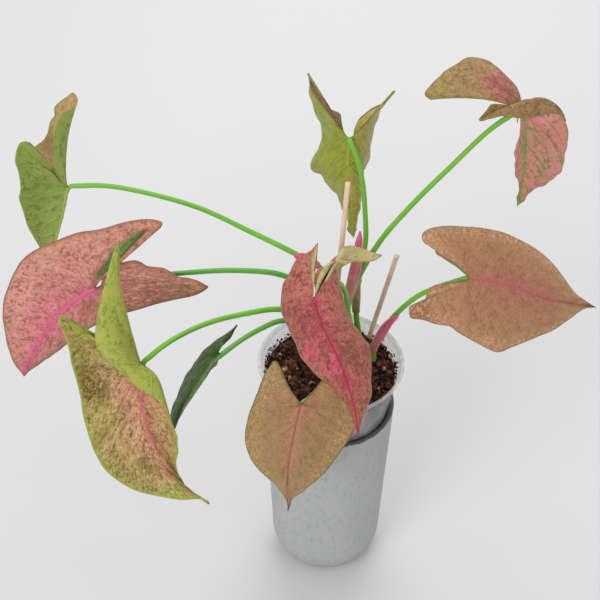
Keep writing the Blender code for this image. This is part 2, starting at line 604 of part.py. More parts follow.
def make_stake(name, foot, top):
    """A straight round wooden stake."""
    line = smooth_curve([foot, np.add(foot, top) / 2, top], np.linspace(0.0, 1.0, 3))
    make_object(f"stake_{name}", *tube(line, [STAKE_DIAMETER / 2] * 3, 10), make_material("wood", PALE_WOOD))


def make_spear():
    """The furled new leaf: a slim spindle with its foot in the mix."""
    places = [place for place, _ in SPEAR]
    centres = smooth_curve(places, np.linspace(0.0, 1.0, SPEAR_STEPS))
    radii = np.interp(centres[:, 2], [place[2] for place in places], [radius for _, radius in SPEAR])
    make_object("spear", *tube(centres, radii, 10), make_material("spear", SHEATH_PINK))


def make_vase():
    """The vase: a slightly tapered round vessel with a soft foot and a bevelled mouth."""
    curve = [math.pi / 2 * k / VASE_FOOT_STEPS for k in range(1, VASE_FOOT_STEPS + 1)]
    outside = [
        (VASE_FLAT_RADIUS + (VASE_FOOT_RADIUS - VASE_FLAT_RADIUS) * math.sin(a),
         VASE_CURVE_HEIGHT * (1.0 - math.cos(a)))
        for a in curve
    ]
    seat_z = VASE_HEIGHT - VASE_SEAT_DROP
    seat_radius = cup_outer_radius(seat_z) + CLEARANCE
    foot_inside = VASE_FOOT_RADIUS - VASE_WALL - 1.0
    profile = [
        (0.0, 0.0), (VASE_FLAT_RADIUS, 0.0), *outside,
        (VASE_TOP_RADIUS, VASE_HEIGHT - 1.2), (VASE_TOP_RADIUS - 0.4, VASE_HEIGHT - 0.3),
        (VASE_TOP_RADIUS - VASE_LIP_WIDTH, VASE_HEIGHT), (seat_radius + 0.5, VASE_HEIGHT - 1.0),
        (seat_radius, seat_z), (VASE_TOP_RADIUS - VASE_WALL, VASE_HEIGHT - 9.0),
        (foot_inside, VASE_CURVE_HEIGHT), (foot_inside - 9.0, VASE_FLOOR + 2.0),
        (foot_inside - 16.0, VASE_FLOOR), (0.0, VASE_FLOOR),
    ]
    make_object("vase", *turned_solid(profile), make_material("stone", STONE_GREY))


def cup_outer_radius(z):
    """Outer radius of the cup's wall at a height."""
    return CUP_MOUTH_RADIUS - CUP_TAPER * (CUP_RIM_Z - z)


def make_cup():
    """The clear cup: a thin tapered wall with a rolled rim and a flat floor."""
    floor_z = CUP_RIM_Z - CUP_HEIGHT
    bevel = CUP_FOOT_BEVEL
    foot = cup_outer_radius(floor_z + bevel)
    neck_z = CUP_RIM_Z - CUP_RIM_ROLL
    neck = cup_outer_radius(neck_z)
    profile = [
        (0.0, floor_z), (foot - bevel, floor_z), (foot, floor_z + bevel),
        (neck, neck_z - 0.1), (CUP_RIM_RADIUS - 0.5, neck_z), (CUP_RIM_RADIUS, neck_z + CUP_RIM_ROLL / 2),
        (CUP_RIM_RADIUS - 0.5, CUP_RIM_Z), (CUP_MOUTH_RADIUS, CUP_RIM_Z), (neck - CUP_WALL, neck_z - 0.1),
        (foot - CUP_WALL, floor_z + bevel), (foot - CUP_WALL - 1.2, floor_z + CUP_WALL),
        (0.0, floor_z + CUP_WALL),
    ]
    make_object("clear_cup", *turned_solid(profile), make_material("clear_plastic", CLEAR_PLASTIC))


def mix_relief(x, y):
    """Height of the crumbs and chips on the mix's surface, from crossed waves."""
    coarse = math.sin(0.52 * x + 1.3) * math.cos(0.47 * y - 0.4) + math.sin(0.31 * x - 0.63 * y)
    fine = math.sin(1.13 * x + 0.7 * y) * math.cos(0.94 * y - 0.5 * x)
    return MIX_RELIEF * (0.55 * coarse + 0.45 * fine)


def make_potting_mix():
    """The root ball: a tapered plug that fills the cup, lumpy on top, with holes for what it holds."""
    bottom_z = CUP_RIM_Z - CUP_HEIGHT + CUP_WALL + CLEARANCE
    top_z = CUP_RIM_Z - MIX_DEPTH
    inset = CUP_WALL + CLEARANCE
    top_radius = cup_outer_radius(top_z - 1.5) - inset
    profile = [
        (0.0, bottom_z), (cup_outer_radius(bottom_z) - inset - 3.0, bottom_z),
        (cup_outer_radius(bottom_z + 3.0) - inset, bottom_z + 3.0), (top_radius, top_z - 1.5),
        *[(top_radius * share, top_z) for share in MIX_RINGS], (0.0, top_z),
    ]
    points, faces = turned_solid(profile)
    points = [
        (x, y, z + mix_relief(x, y)) if abs(z - top_z) < 0.01 else (x, y, z) for x, y, z in points
    ]
    mix = make_object("potting_mix", points, faces, make_material("coir", COIR_BROWN))

    holes = [tube([(x, y, STEM_ROOT_Z - CLEARANCE), (x, y, CUP_RIM_Z)], [STEM_RADIUS + HOLE_ROOM] * 2, 12)
             for x, y in STEMS.values()]
    for foot, top in STAKES.values():
        along = np.subtract(top, foot) / np.linalg.norm(np.subtract(top, foot))
        ends = [foot - along * CLEARANCE, foot + along * STAKE_HOLE_LENGTH]
        holes.append(tube(ends, [STAKE_DIAMETER / 2 + HOLE_ROOM] * 2, 10))
    (x, y, z), _ = SPEAR[0]
    holes.append(tube([(x, y, z - CLEARANCE), (x, y, CUP_RIM_Z)], [SPEAR[1][1] + HOLE_ROOM] * 2, 10))
    for number, (hole_points, hole_faces) in enumerate(holes, start=1):
        cutter = make_object(f"cutter_{number}", hole_points, hole_faces, make_material("coir", COIR_BROWN))
        cutter.hide_render = True
        cutter.display_type = "WIRE"
        cut = mix.modifiers.new(f"hole_{number}", "BOOLEAN")
        cut.operation = "DIFFERENCE"
        cut.solver = "EXACT"
        cut.object = cutter


def main():
    clear_scene()
    make_vase()
    make_cup()
    make_potting_mix()
    for name, place in STEMS.items():
        make_stem(name, place)
    for name, (foot, top) in STAKES.items():
        make_stake(name, foot, top)
    make_spear()
    lines = {name: make_leaf(name, leaf) for name, leaf in LEAVES.items()}
    for name, sheath in SHEATHS.items():
        make_sheath(name, *lines[sheath[0]], sheath)


main()
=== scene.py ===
"""Looks of the arrowhead plant: pink and olive leaves, stalks, cup, potting mix, stakes and stone vase.

Sizes inside the script are millimetres unless a line says otherwise, and a mesh is put into metres as
it is made. The origin is the middle of the vase's flat underside, +Z is up and -Y is the front.
"""

import math

import bpy
import numpy as np
from mathutils import Matrix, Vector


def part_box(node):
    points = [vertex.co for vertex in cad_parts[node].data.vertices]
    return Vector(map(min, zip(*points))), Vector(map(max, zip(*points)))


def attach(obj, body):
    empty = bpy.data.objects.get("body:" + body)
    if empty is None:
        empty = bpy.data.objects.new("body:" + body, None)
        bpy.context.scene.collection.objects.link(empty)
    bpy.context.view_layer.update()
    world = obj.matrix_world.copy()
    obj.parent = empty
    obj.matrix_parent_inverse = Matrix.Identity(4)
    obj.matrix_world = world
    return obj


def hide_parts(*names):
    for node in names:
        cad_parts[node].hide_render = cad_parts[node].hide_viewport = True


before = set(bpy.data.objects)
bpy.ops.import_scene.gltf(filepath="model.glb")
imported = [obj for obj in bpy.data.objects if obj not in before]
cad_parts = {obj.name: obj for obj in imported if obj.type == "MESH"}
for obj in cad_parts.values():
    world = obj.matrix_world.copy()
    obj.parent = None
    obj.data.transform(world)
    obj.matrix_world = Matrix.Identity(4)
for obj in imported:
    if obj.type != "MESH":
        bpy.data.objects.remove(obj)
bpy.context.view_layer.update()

bl_info = {
    "name": "Arrowhead Plant Looks",
    "version": (1, 0, 0),
    "blender": (4, 5, 0),
    "location": "View3D > Sidebar > Plant",
    "description": "Builds the leaves, stalks, potting mix, cup, vase and stage of an arrowhead plant",
    "category": "Object",
}

MM = 0.001
VASE_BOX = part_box("vase")
CUP_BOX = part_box("clear_cup")

# Sizes that the plant's pieces share
STEM_RADIUS = 4.2
STEM_TOP_Z = 183.0
PETIOLE_FOOT_RADIUS = 2.1
PETIOLE_TIP_RADIUS = 1.45
STAKE_DIAMETER = 3.3
MIX_TOP_Z = 171.0
CUP_MOUTH_RADIUS = 45.4
CUP_TAPER = 0.166
CUP_WALL = 0.8

# Where each stem comes out of the mix: x, y
STEMS = {
    "left": (-4.0, 14.0),
    "middle": (14.0, 26.0),
    "right": (22.0, 12.0),
}

# Wooden stakes: foot and top of the centre line
STAKES = {
    "tall": ((-2.0, 20.5, 128.0), (7.7, 36.0, 297.0)),
    "short": ((20.0, 29.0, 146.0), (40.5, 32.0, 243.0)),
}

# The furled new leaf: points of its centre line and its radius there
SPEAR = (
    ((8.0, 15.0, 160.0), 2.4),
    ((8.0, 15.0, 176.0), 2.6),
    ((8.5, 16.0, 206.0), 2.9),
    ((12.0, 19.0, 237.0), 2.8),
    ((14.5, 22.0, 252.0), 2.5),
    ((15.7, 24.0, 262.0), 2.1),
    ((16.0, 25.0, 268.0), 0.6),
)


# Each leaf is drawn in a frame of its own. The junction of petiole and blade is the origin, +Y runs
# to the tip, +Z stands out of the upper face, and +X is the right hand side seen from above.
# "junction" and "tip" are places in the plant's frame, and "faces" is the way that the upper face looks.
# "margin" goes from beside the tip to the widest place, and "lobe" goes on round the basal lobe.
# The first half is the left one of a blade that lies flat, and the second the right one.
# "belly" lifts the blade between midrib and margin: how far round the half, then the shift.
# "sinus" is where the notch opens beside the junction, for a blade whose lobes stand apart there.
# "stem", "turn" and "route" say where the petiole leaves and which places it passes.
LEAVES = {
    "right": {
        "junction": (82, -4, 256), "tip": (173, 31, 202), "faces": (0.56, -0.62, 0.55),
        "midrib": [(2, 62, 3), (-1, 27, 3)],
        "halves": [
            {
                "margin": [(-1, 105, 1), (-3, 97, 2), (-8, 85, 2), (-18, 70, 2), (-27, 55, 0),
                           (-31, 38, -1), (-33, 22, -2), (-33, 9, -3)],
                "lobe": [(-31, -7, -5), (-28, -22, -7), (-25, -30, -8), (-22, -33, -9), (-18, -33, -9),
                         (-16, -30, -8), (-16, -26, -7), (-14, -24, -7), (-11, -23, -6),
                         (-10, -16, -4), (-7, -11, -3), (-5, -6, -2)],
                "belly": [(0, 0, 0, 0), (0.5, 0, -1, 2), (1.5, 0, -1, 2), (1.8, 0, 0, 1), (2, 0, 0, 0)],
                "sinus": (-2, -2, 0),
            },
            {
                "margin": [(1, 105, 1), (3, 99, 2), (11, 87, 2), (22, 71, 2), (30, 55, 1), (36, 42, 0),
                           (41, 29, -1)],
                "lobe": [(38, 16, -2), (35, 4, -2), (33, -3, -2), (31, -8, -2), (31, -18, -4),
                         (30, -26, -5), (30, -30, -6), (30, -35, -7), (27, -37, -7), (23, -37, -7),
                         (22, -35, -6), (21, -31, -6), (20, -28, -5), (16, -28, -4), (11, -26, -4),
                         (8, -23, -3), (6, -17, -2), (4, -8, -1)],
                "belly": [(0, 0, 0, 0), (0.5, 0, -2, 2), (1.3, 0, -1, 2), (1.6, 0, 0, 1), (2, 0, 0, 0)],
                "sinus": (2, -2, 0),
            },
        ],
        "stem": "right", "turn": 330,
        "route": [(28, 8, 187), (33, 8, 200), (40, 6, 216), (53, 1, 237), (66, -2, 248)],
    },
    "front": {
        "junction": (-19, -66, 208), "tip": (-26, -101, 151), "faces": (0.0, -0.85, 0.52),
        "midrib": [(3, 39, 3), (2, 16, 2)],
        "halves": [
            {
                "margin": [(-1, 63, 0), (-2, 58, 1), (-8, 53, 0), (-17, 43, 0), (-25, 31, -2), (-32, 17, -4)],
                "lobe": [(-35, 6, -5), (-34, -4, -5), (-28, -16, -3), (-22, -24, -1), (-17, -26, -1), (-14, -23, 1)],
                "belly": [(0, 0, 0, 0), (0.5, 0, 0, 2), (1.6, 0, 0, 1), (2, 0, 1, 0)],
            },
            {
                "margin": [(1, 63, 0), (4, 57, 1), (9, 52, 0), (17, 46, 0), (26, 38, -2), (31, 26, -4)],
                "lobe": [(31, 15, -6), (28, 2, -8), (25, -10, -9), (22, -18, -9), (19, -23, -8), (15, -21, -4)],
                "belly": [(0, 0, 0, 0), (0.5, 0, 0, 2), (1.6, 0, 0, 1), (2, 1, 1, 0)],
            },
        ],
        "stem": "right", "turn": 240,
        "route": [(22, -7, 200), (18, -27, 214), (4, -48, 216)],
    },
    "centre": {
        "junction": (-12, -31, 260), "tip": (15, -88, 205), "faces": (0.02, -0.76, 0.65),
        "midrib": [(-3, 64, 4), (-3, 39, 3), (0, 16, 1)],
        "halves": [
            {
                "margin": [(-4, 77, 1), (-9, 70, 0), (-15, 62, -1), (-19, 51, -4), (-22, 38, -6),
                           (-21, 27, -8), (-18, 18, -9)],
                "lobe": [(-16, 8, -9), (-17, -1, -10), (-18, -10, -10), (-21, -16, -10),
                         (-25, -25, -10), (-28, -26, -11), (-33, -25, -13), (-40, -21, -16),
                         (-45, -17, -17), (-48, -15, -18), (-42, -13, -16), (-36, -14, -14),
                         (-29, -16, -11), (-23, -16, -8), (-22, -22, -7), (-17, -20, -6),
                         (-13, -17, -4), (-9, -18, -3), (-6, -15, -2), (-4, -9, -1)],
                "belly": [(0, 0, 0, 0), (0.5, -1, 0, 4), (1, -1, 0, 5), (1.33, 0, 0, 3),
                          (1.43, 2, -2, 1), (1.52, 7, -6, 1), (1.57, 5, -8, 2), (1.68, 2, -9, 3),
                          (1.73, -2, -7, 3), (1.78, -1, -2, 2), (2, 0, 0, 0)],
                "sinus": (-2, -4, 0),
            },
            {
                "margin": [(1, 76, 0), (1, 64, -2), (5, 55, -4), (12, 43, -6), (17, 30, -8),
                           (19, 19, -11), (20, 9, -12)],
                "lobe": [(20, 0, -13), (18, -9, -13), (15, -16, -12), (11, -20, -11), (7, -24, -11),
                         (1, -28, -10), (-3, -29, -9), (-8, -30, -8), (-13, -33, -7), (-10, -29, -6),
                         (-7, -26, -5), (-6, -23, -5), (-6, -19, -3), (-5, -14, -2), (-2, -9, -2)],
                "belly": [(0, 0, 0, 0), (0.5, 0, 0, 4), (1, 1, 0, 5), (1.6, 0, 0, 3), (2, 0, 0, 0)],
                "sinus": (0, -4, 0),
            },
        ],
        "stem": "middle", "turn": 290,
        "route": [(15, 12, 190), (11, 5, 212), (7, -2, 242), (2, -11, 257), (-5, -21, 262)],
    },
    "left_large": {
        "junction": (-145, -8, 247), "tip": (-197, -13, 175), "faces": (-0.37, -0.87, 0.33),
        "midrib": [(5, 59, 5), (6, 35, 6), (5, 14, 4)],
        "halves": [
            {
                "margin": [(-1, 79, 2), (-4, 67, 2), (-7, 51, 2), (-11, 34, 1), (-14, 21, -1)],
                "lobe": [(-18, 10, -3), (-25, -3, -6), (-32, -16, -8), (-40, -28, -12),
                         (-47, -38, -15), (-49, -44, -16), (-49, -47, -17), (-46, -47, -16),
                         (-41, -45, -16), (-37, -43, -15), (-32, -39, -14), (-27, -38, -14),
                         (-21, -36, -14), (-17, -33, -13), (-13, -30, -12), (-9, -29, -12),
                         (-5, -27, -11), (-1, -22, -8), (2, -18, -6), (4, -14, -4), (2, -8, -2)],
                "belly": [(0, 0, 0, 0), (0.5, 0, -1, 3), (1.4, 0, -2, 3), (1.8, 0, -1, 2),
                          (2, 0, 0, 0)],
                "sinus": (-1, -3, -1),
            },
            {
                "margin": [(8, 86, 2), (20, 78, 3), (32, 66, 4), (40, 54, 3), (45, 40, 2), (47, 26, 0),
                           (45, 13, -3)],
                "lobe": [(39, -1, -6), (32, -14, -9), (23, -26, -11), (14, -41, -15), (7, -49, -19),
                         (1, -53, -21), (-2, -54, -21), (-3, -52, -20), (-2, -49, -19), (1, -46, -17),
                         (3, -46, -13), (5, -41, -10), (6, -35, -7), (8, -30, -5), (6, -24, -4),
                         (6, -18, -3), (6, -12, -1), (6, -8, -1)],
                "belly": [(0, 0, 0, 0), (0.5, 0, -2, 3), (1.4, 0, -1, 3), (1.8, 0, 0, 1), (2, 0, 0, 0)],
                "sinus": (3, -2, 0),
            },
        ],
        "stem": "left", "turn": 165,
        "route": [(-16, 14, 226), (-31, 10, 244), (-61, 5, 252), (-97, 0, 253), (-126, -1, 249)],
    },
    "left_front": {
        "junction": (-113, -63, 237), "tip": (-75, -85, 138), "faces": (0.02, -0.97, 0.22),
        "midrib": [(14, 79, 2), (15, 55, 1), (13, 34, 0), (8, 15, 0)],
        "halves": [
            {
                "margin": [(5, 101, -1), (10, 91, -1), (9, 78, 0), (2, 61, 4), (-4, 41, 8)],
                "lobe": [(-4, 21, 12), (3, 5, 15), (11, -15, 16), (14, -27, 16), (7, -44, 15),
                         (-4, -60, 11), (-19, -78, 3), (-17, -70, 3)],
                "belly": [(0, 0, 0, 0), (0.5, -1, 2, -3), (0.8, -2, 2, -2), (1, -2, 1, 0),
                          (1.2, -8, -1, 4), (1.5, -5, 0, 8), (1.8, -1, -3, 5), (2, 4, -2, 2)],
            },
            {
                "margin": [(4, 103, 0), (15, 98, 2), (28, 88, 4), (37, 80, 5), (44, 70, 5),
                           (48, 58, 6), (49, 46, 5), (48, 34, 5)],
                "lobe": [(45, 18, 3), (42, 8, 2), (39, -5, 2), (38, -15, 1), (35, -24, 2),
                         (34, -31, 1), (33, -37, 1), (33, -43, 1), (31, -46, 0), (29, -46, 0),
                         (28, -43, -1), (28, -38, -1), (28, -33, -1), (26, -30, -1), (23, -30, -1),
                         (20, -26, -1), (19, -22, -1)],
                "belly": [(0, 0, 0, 0), (0.5, 1, 2, -4), (1, 1, 3, -6), (1.6, 1, 3, -6),
                          (1.8, 1, 2, -3), (2, 0, 1, -1)],
            },
        ],
        "stem": "left", "turn": 235,
        "route": [(-13, 3, 210), (-31, -6, 230), (-57, -20, 238), (-80, -38, 245), (-99, -54, 245)],
    },
    "left_narrow": {
        "junction": (-69, -54, 238), "tip": (-103, -50, 149), "faces": (0.01, -1.0, -0.05),
        "midrib": [(4, 53, 1), (3, 35, 1), (1, 15, 1)],
        "halves": [
            {
                "margin": [(7, 71, 5), (13, 44, 13), (16, 18, 17), (16, -1, 19)],
                "lobe": [(15, -13, 19), (11, -23, 17), (7, -29, 14), (2, -31, 10), (-1, -33, 6),
                         (-2, -18, 3)],
                "belly": [(0, 0, 0, 0), (0.5, -1, 3, -4), (1, -1, 4, -4), (2, 0, 2, -2)],
            },
            {
                "margin": [(1, 87, -6), (-1, 77, -13), (-3, 66, -17), (-5, 51, -18)],
                "lobe": [(-6, 36, -17), (-7, 24, -14), (-6, 14, -11), (-2, 5, -7)],
                "belly": [(0, 0, 0, 0), (0.5, 1, -3, 4), (1, 1, -4, 5), (2, 1, -2, 2)],
            },
        ],
        "stem": "left", "turn": 285,
        "route": [(-9, -3, 212), (-31, -15, 229), (-43, -27, 234), (-56, -43, 238)],
    },
    "back_left": {
        "junction": (-171, 70, 265), "tip": (-191, 72, 197), "faces": (0.0, -1.0, -0.03),
        "midrib": [(-1, 41, 1), (-1, 17, 0)],
        "halves": [
            {
                "margin": [(5, 61, 2), (11, 51, 3), (15, 44, 4), (20, 35, 5), (24, 25, 5), (28, 14, 6),
                           (29, 4, 6)],
                "lobe": [(32, -6, 5), (35, -13, 4), (36, -21, 1), (35, -25, -1), (32, -27, -2),
                         (28, -25, -3), (27, -20, -4), (24, -14, -4), (19, -10, -3), (12, -7, -2),
                         (7, -2, -1)],
                "belly": [(0, 0, 0, 0), (0.5, -2, 3, -4), (1, -2, 4, -5), (1.6, -1, 3, -4),
                          (2, 0, 0, -1)],
                "sinus": (2, 1, 0),
            },
            {
                "margin": [(3, 65, -6), (8, 59, -14), (14, 49, -19), (20, 36, -23)],
                "lobe": [(25, 19, -26), (27, 4, -27), (26, -5, -26), (22, -12, -25), (20, -20, -24),
                         (20, -30, -23), (18, -38, -21), (19, -44, -21), (17, -50, -19),
                         (13, -57, -17), (10, -62, -16), (7, -61, -14), (6, -56, -13), (9, -52, -12),
                         (13, -50, -9), (15, -44, -8), (16, -36, -7), (15, -26, -6), (13, -15, -4),
                         (10, -7, -3), (7, -4, -2)],
                "belly": [(0, 0, 0, 0), (0.5, -3, 6, -7), (1, -4, 7, -9), (1.3, -2, 7, -8),
                          (1.45, 2, 7, -7), (1.6, 4, 6, -6), (1.7, 1, 4, -4), (1.8, 0, 2, -2),
                          (2, 0, 0, 0)],
                "sinus": (1, 0, 0),
            },
        ],
        "stem": "middle", "turn": 108,
        "route": [(4, 38, 204), (-8, 39, 226), (-23, 40, 236), (-53, 49, 247), (-85, 57, 259),
                  (-118, 64, 265), (-147, 69, 267)],
    },
    "back": {
        "junction": (9, 74, 303), "tip": (14, 61, 233), "faces": (0.01, -0.98, 0.18),
        "midrib": [(1, 49, 1), (2, 23, 1)],
        "halves": [
            {
                "margin": [(3, 67, -2), (4, 60, -5), (7, 51, -8), (12, 42, -12), (19, 33, -15),
                           (25, 25, -18)],
                "lobe": [(21, 15, -18), (18, 7, -18), (18, -3, -18), (20, -11, -17), (22, -18, -16),
                         (24, -25, -16), (24, -33, -15), (24, -40, -14), (23, -31, -13),
                         (21, -24, -13), (19, -21, -13), (16, -23, -12), (16, -19, -12),
                         (12, -16, -11), (6, -13, -10), (5, -10, -9), (5, -5, -6), (7, -3, -4)],
                "belly": [(0, 0, 0, 0), (0.5, 0, -3, 5), (1, 0, -4, 6), (1.6, 0, -3, 4),
                          (1.85, 0, -1, 2), (2, 0, 0, 0)],
                "sinus": (3, -1, -1),
            },
            {
                "margin": [(-1, 68, -3), (-3, 63, -9), (-5, 55, -15), (-7, 46, -19), (-9, 36, -23),
                           (-12, 27, -24)],
                "lobe": [(-14, 20, -25), (-16, 10, -25), (-18, 0, -24), (-20, -7, -23),
                         (-23, -11, -22), (-26, -15, -21), (-29, -20, -19), (-30, -24, -17),
                         (-27, -19, -16), (-23, -17, -15), (-18, -16, -13), (-14, -14, -11),
                         (-11, -12, -10), (-7, -9, -8), (-4, -6, -5), (-3, -3, -3)],
                "belly": [(0, 0, 0, 0), (0.5, -3, -4, 6), (1, -3, -4, 7), (1.5, -1, -3, 5),
                          (1.8, 0, -1, 2), (2, 0, 0, 0)],
                "sinus": (-3, -1, -1),
            },
        ],
        "stem": "middle", "turn": 48,
        "route": [(16, 36, 209), (19, 42, 229), (21, 47, 243), (20, 55, 261), (18, 62, 278),
                  (14, 67, 293)],
    },
    "right_high": {
        "junction": (105, 38, 352), "tip": (112, 32, 284), "faces": (0.01, -1.0, 0.09),
        "midrib": [(-4, 44, 0), (-5, 26, 0), (-5, 10, 0)],
        "halves": [
            {
                "margin": [(-1, 59, -2), (0, 49, -5), (1, 41, -8), (-1, 32, -11), (-3, 25, -13)],
                "lobe": [(-4, 15, -15), (-2, 4, -17), (1, -4, -23), (7, -12, -27), (15, -17, -30),
                         (26, -19, -30), (38, -16, -26), (53, -7, -12), (50, -5, -9)],
                "belly": [(0, 0, 0, 0), (0.5, 0, -2, 2), (1, -1, -2, 2), (1.5, -3, -3, 5),
                          (2, -2, -3, 0)],
            },
            {
                "margin": [(-4, 65, -1), (-11, 59, -2), (-19, 54, -2), (-25, 51, -3), (-28, 43, -4),
                           (-30, 32, -4)],
                "lobe": [(-30, 20, -3), (-27, 9, 0), (-20, 3, 4), (-10, 2, 9), (0, 1, 10), (9, -1, 10),
                         (17, 1, 8), (23, 4, 4), (16, -5, 2)],
                "belly": [(0, 0, 0, 0), (0.5, 0, -3, 4), (1, 0, -5, 4), (1.25, -4, -9, 3),
                          (1.5, -3, -9, 1), (1.8, 0, -4, 1), (2, 0, -1, 0)],
            },
        ],
        "stem": "middle", "turn": 205,
        "route": [(9, 24, 205), (27, 29, 253), (46, 33, 281), (69, 36, 310), (91, 39, 336)],
    },
}

# Sheaths that hug a petiole: the leaf, the shares of its length, the side that they lie on, the radius
SHEATHS = {
    "right": ("right", 0.08, 0.5, (0.3, -1.0, 0.3), 1.0),
    "back_left": ("back_left", 0.26, 0.36, (-0.1, -1.0, 0.3), 1.3),
    "right_high": ("right_high", 0.16, 0.33, (-1.0, 0.5, 0.0), 1.2),
    "old": ("back", 0.1, 0.26, (0.9, -1.0, 0.0), 0.7),
}

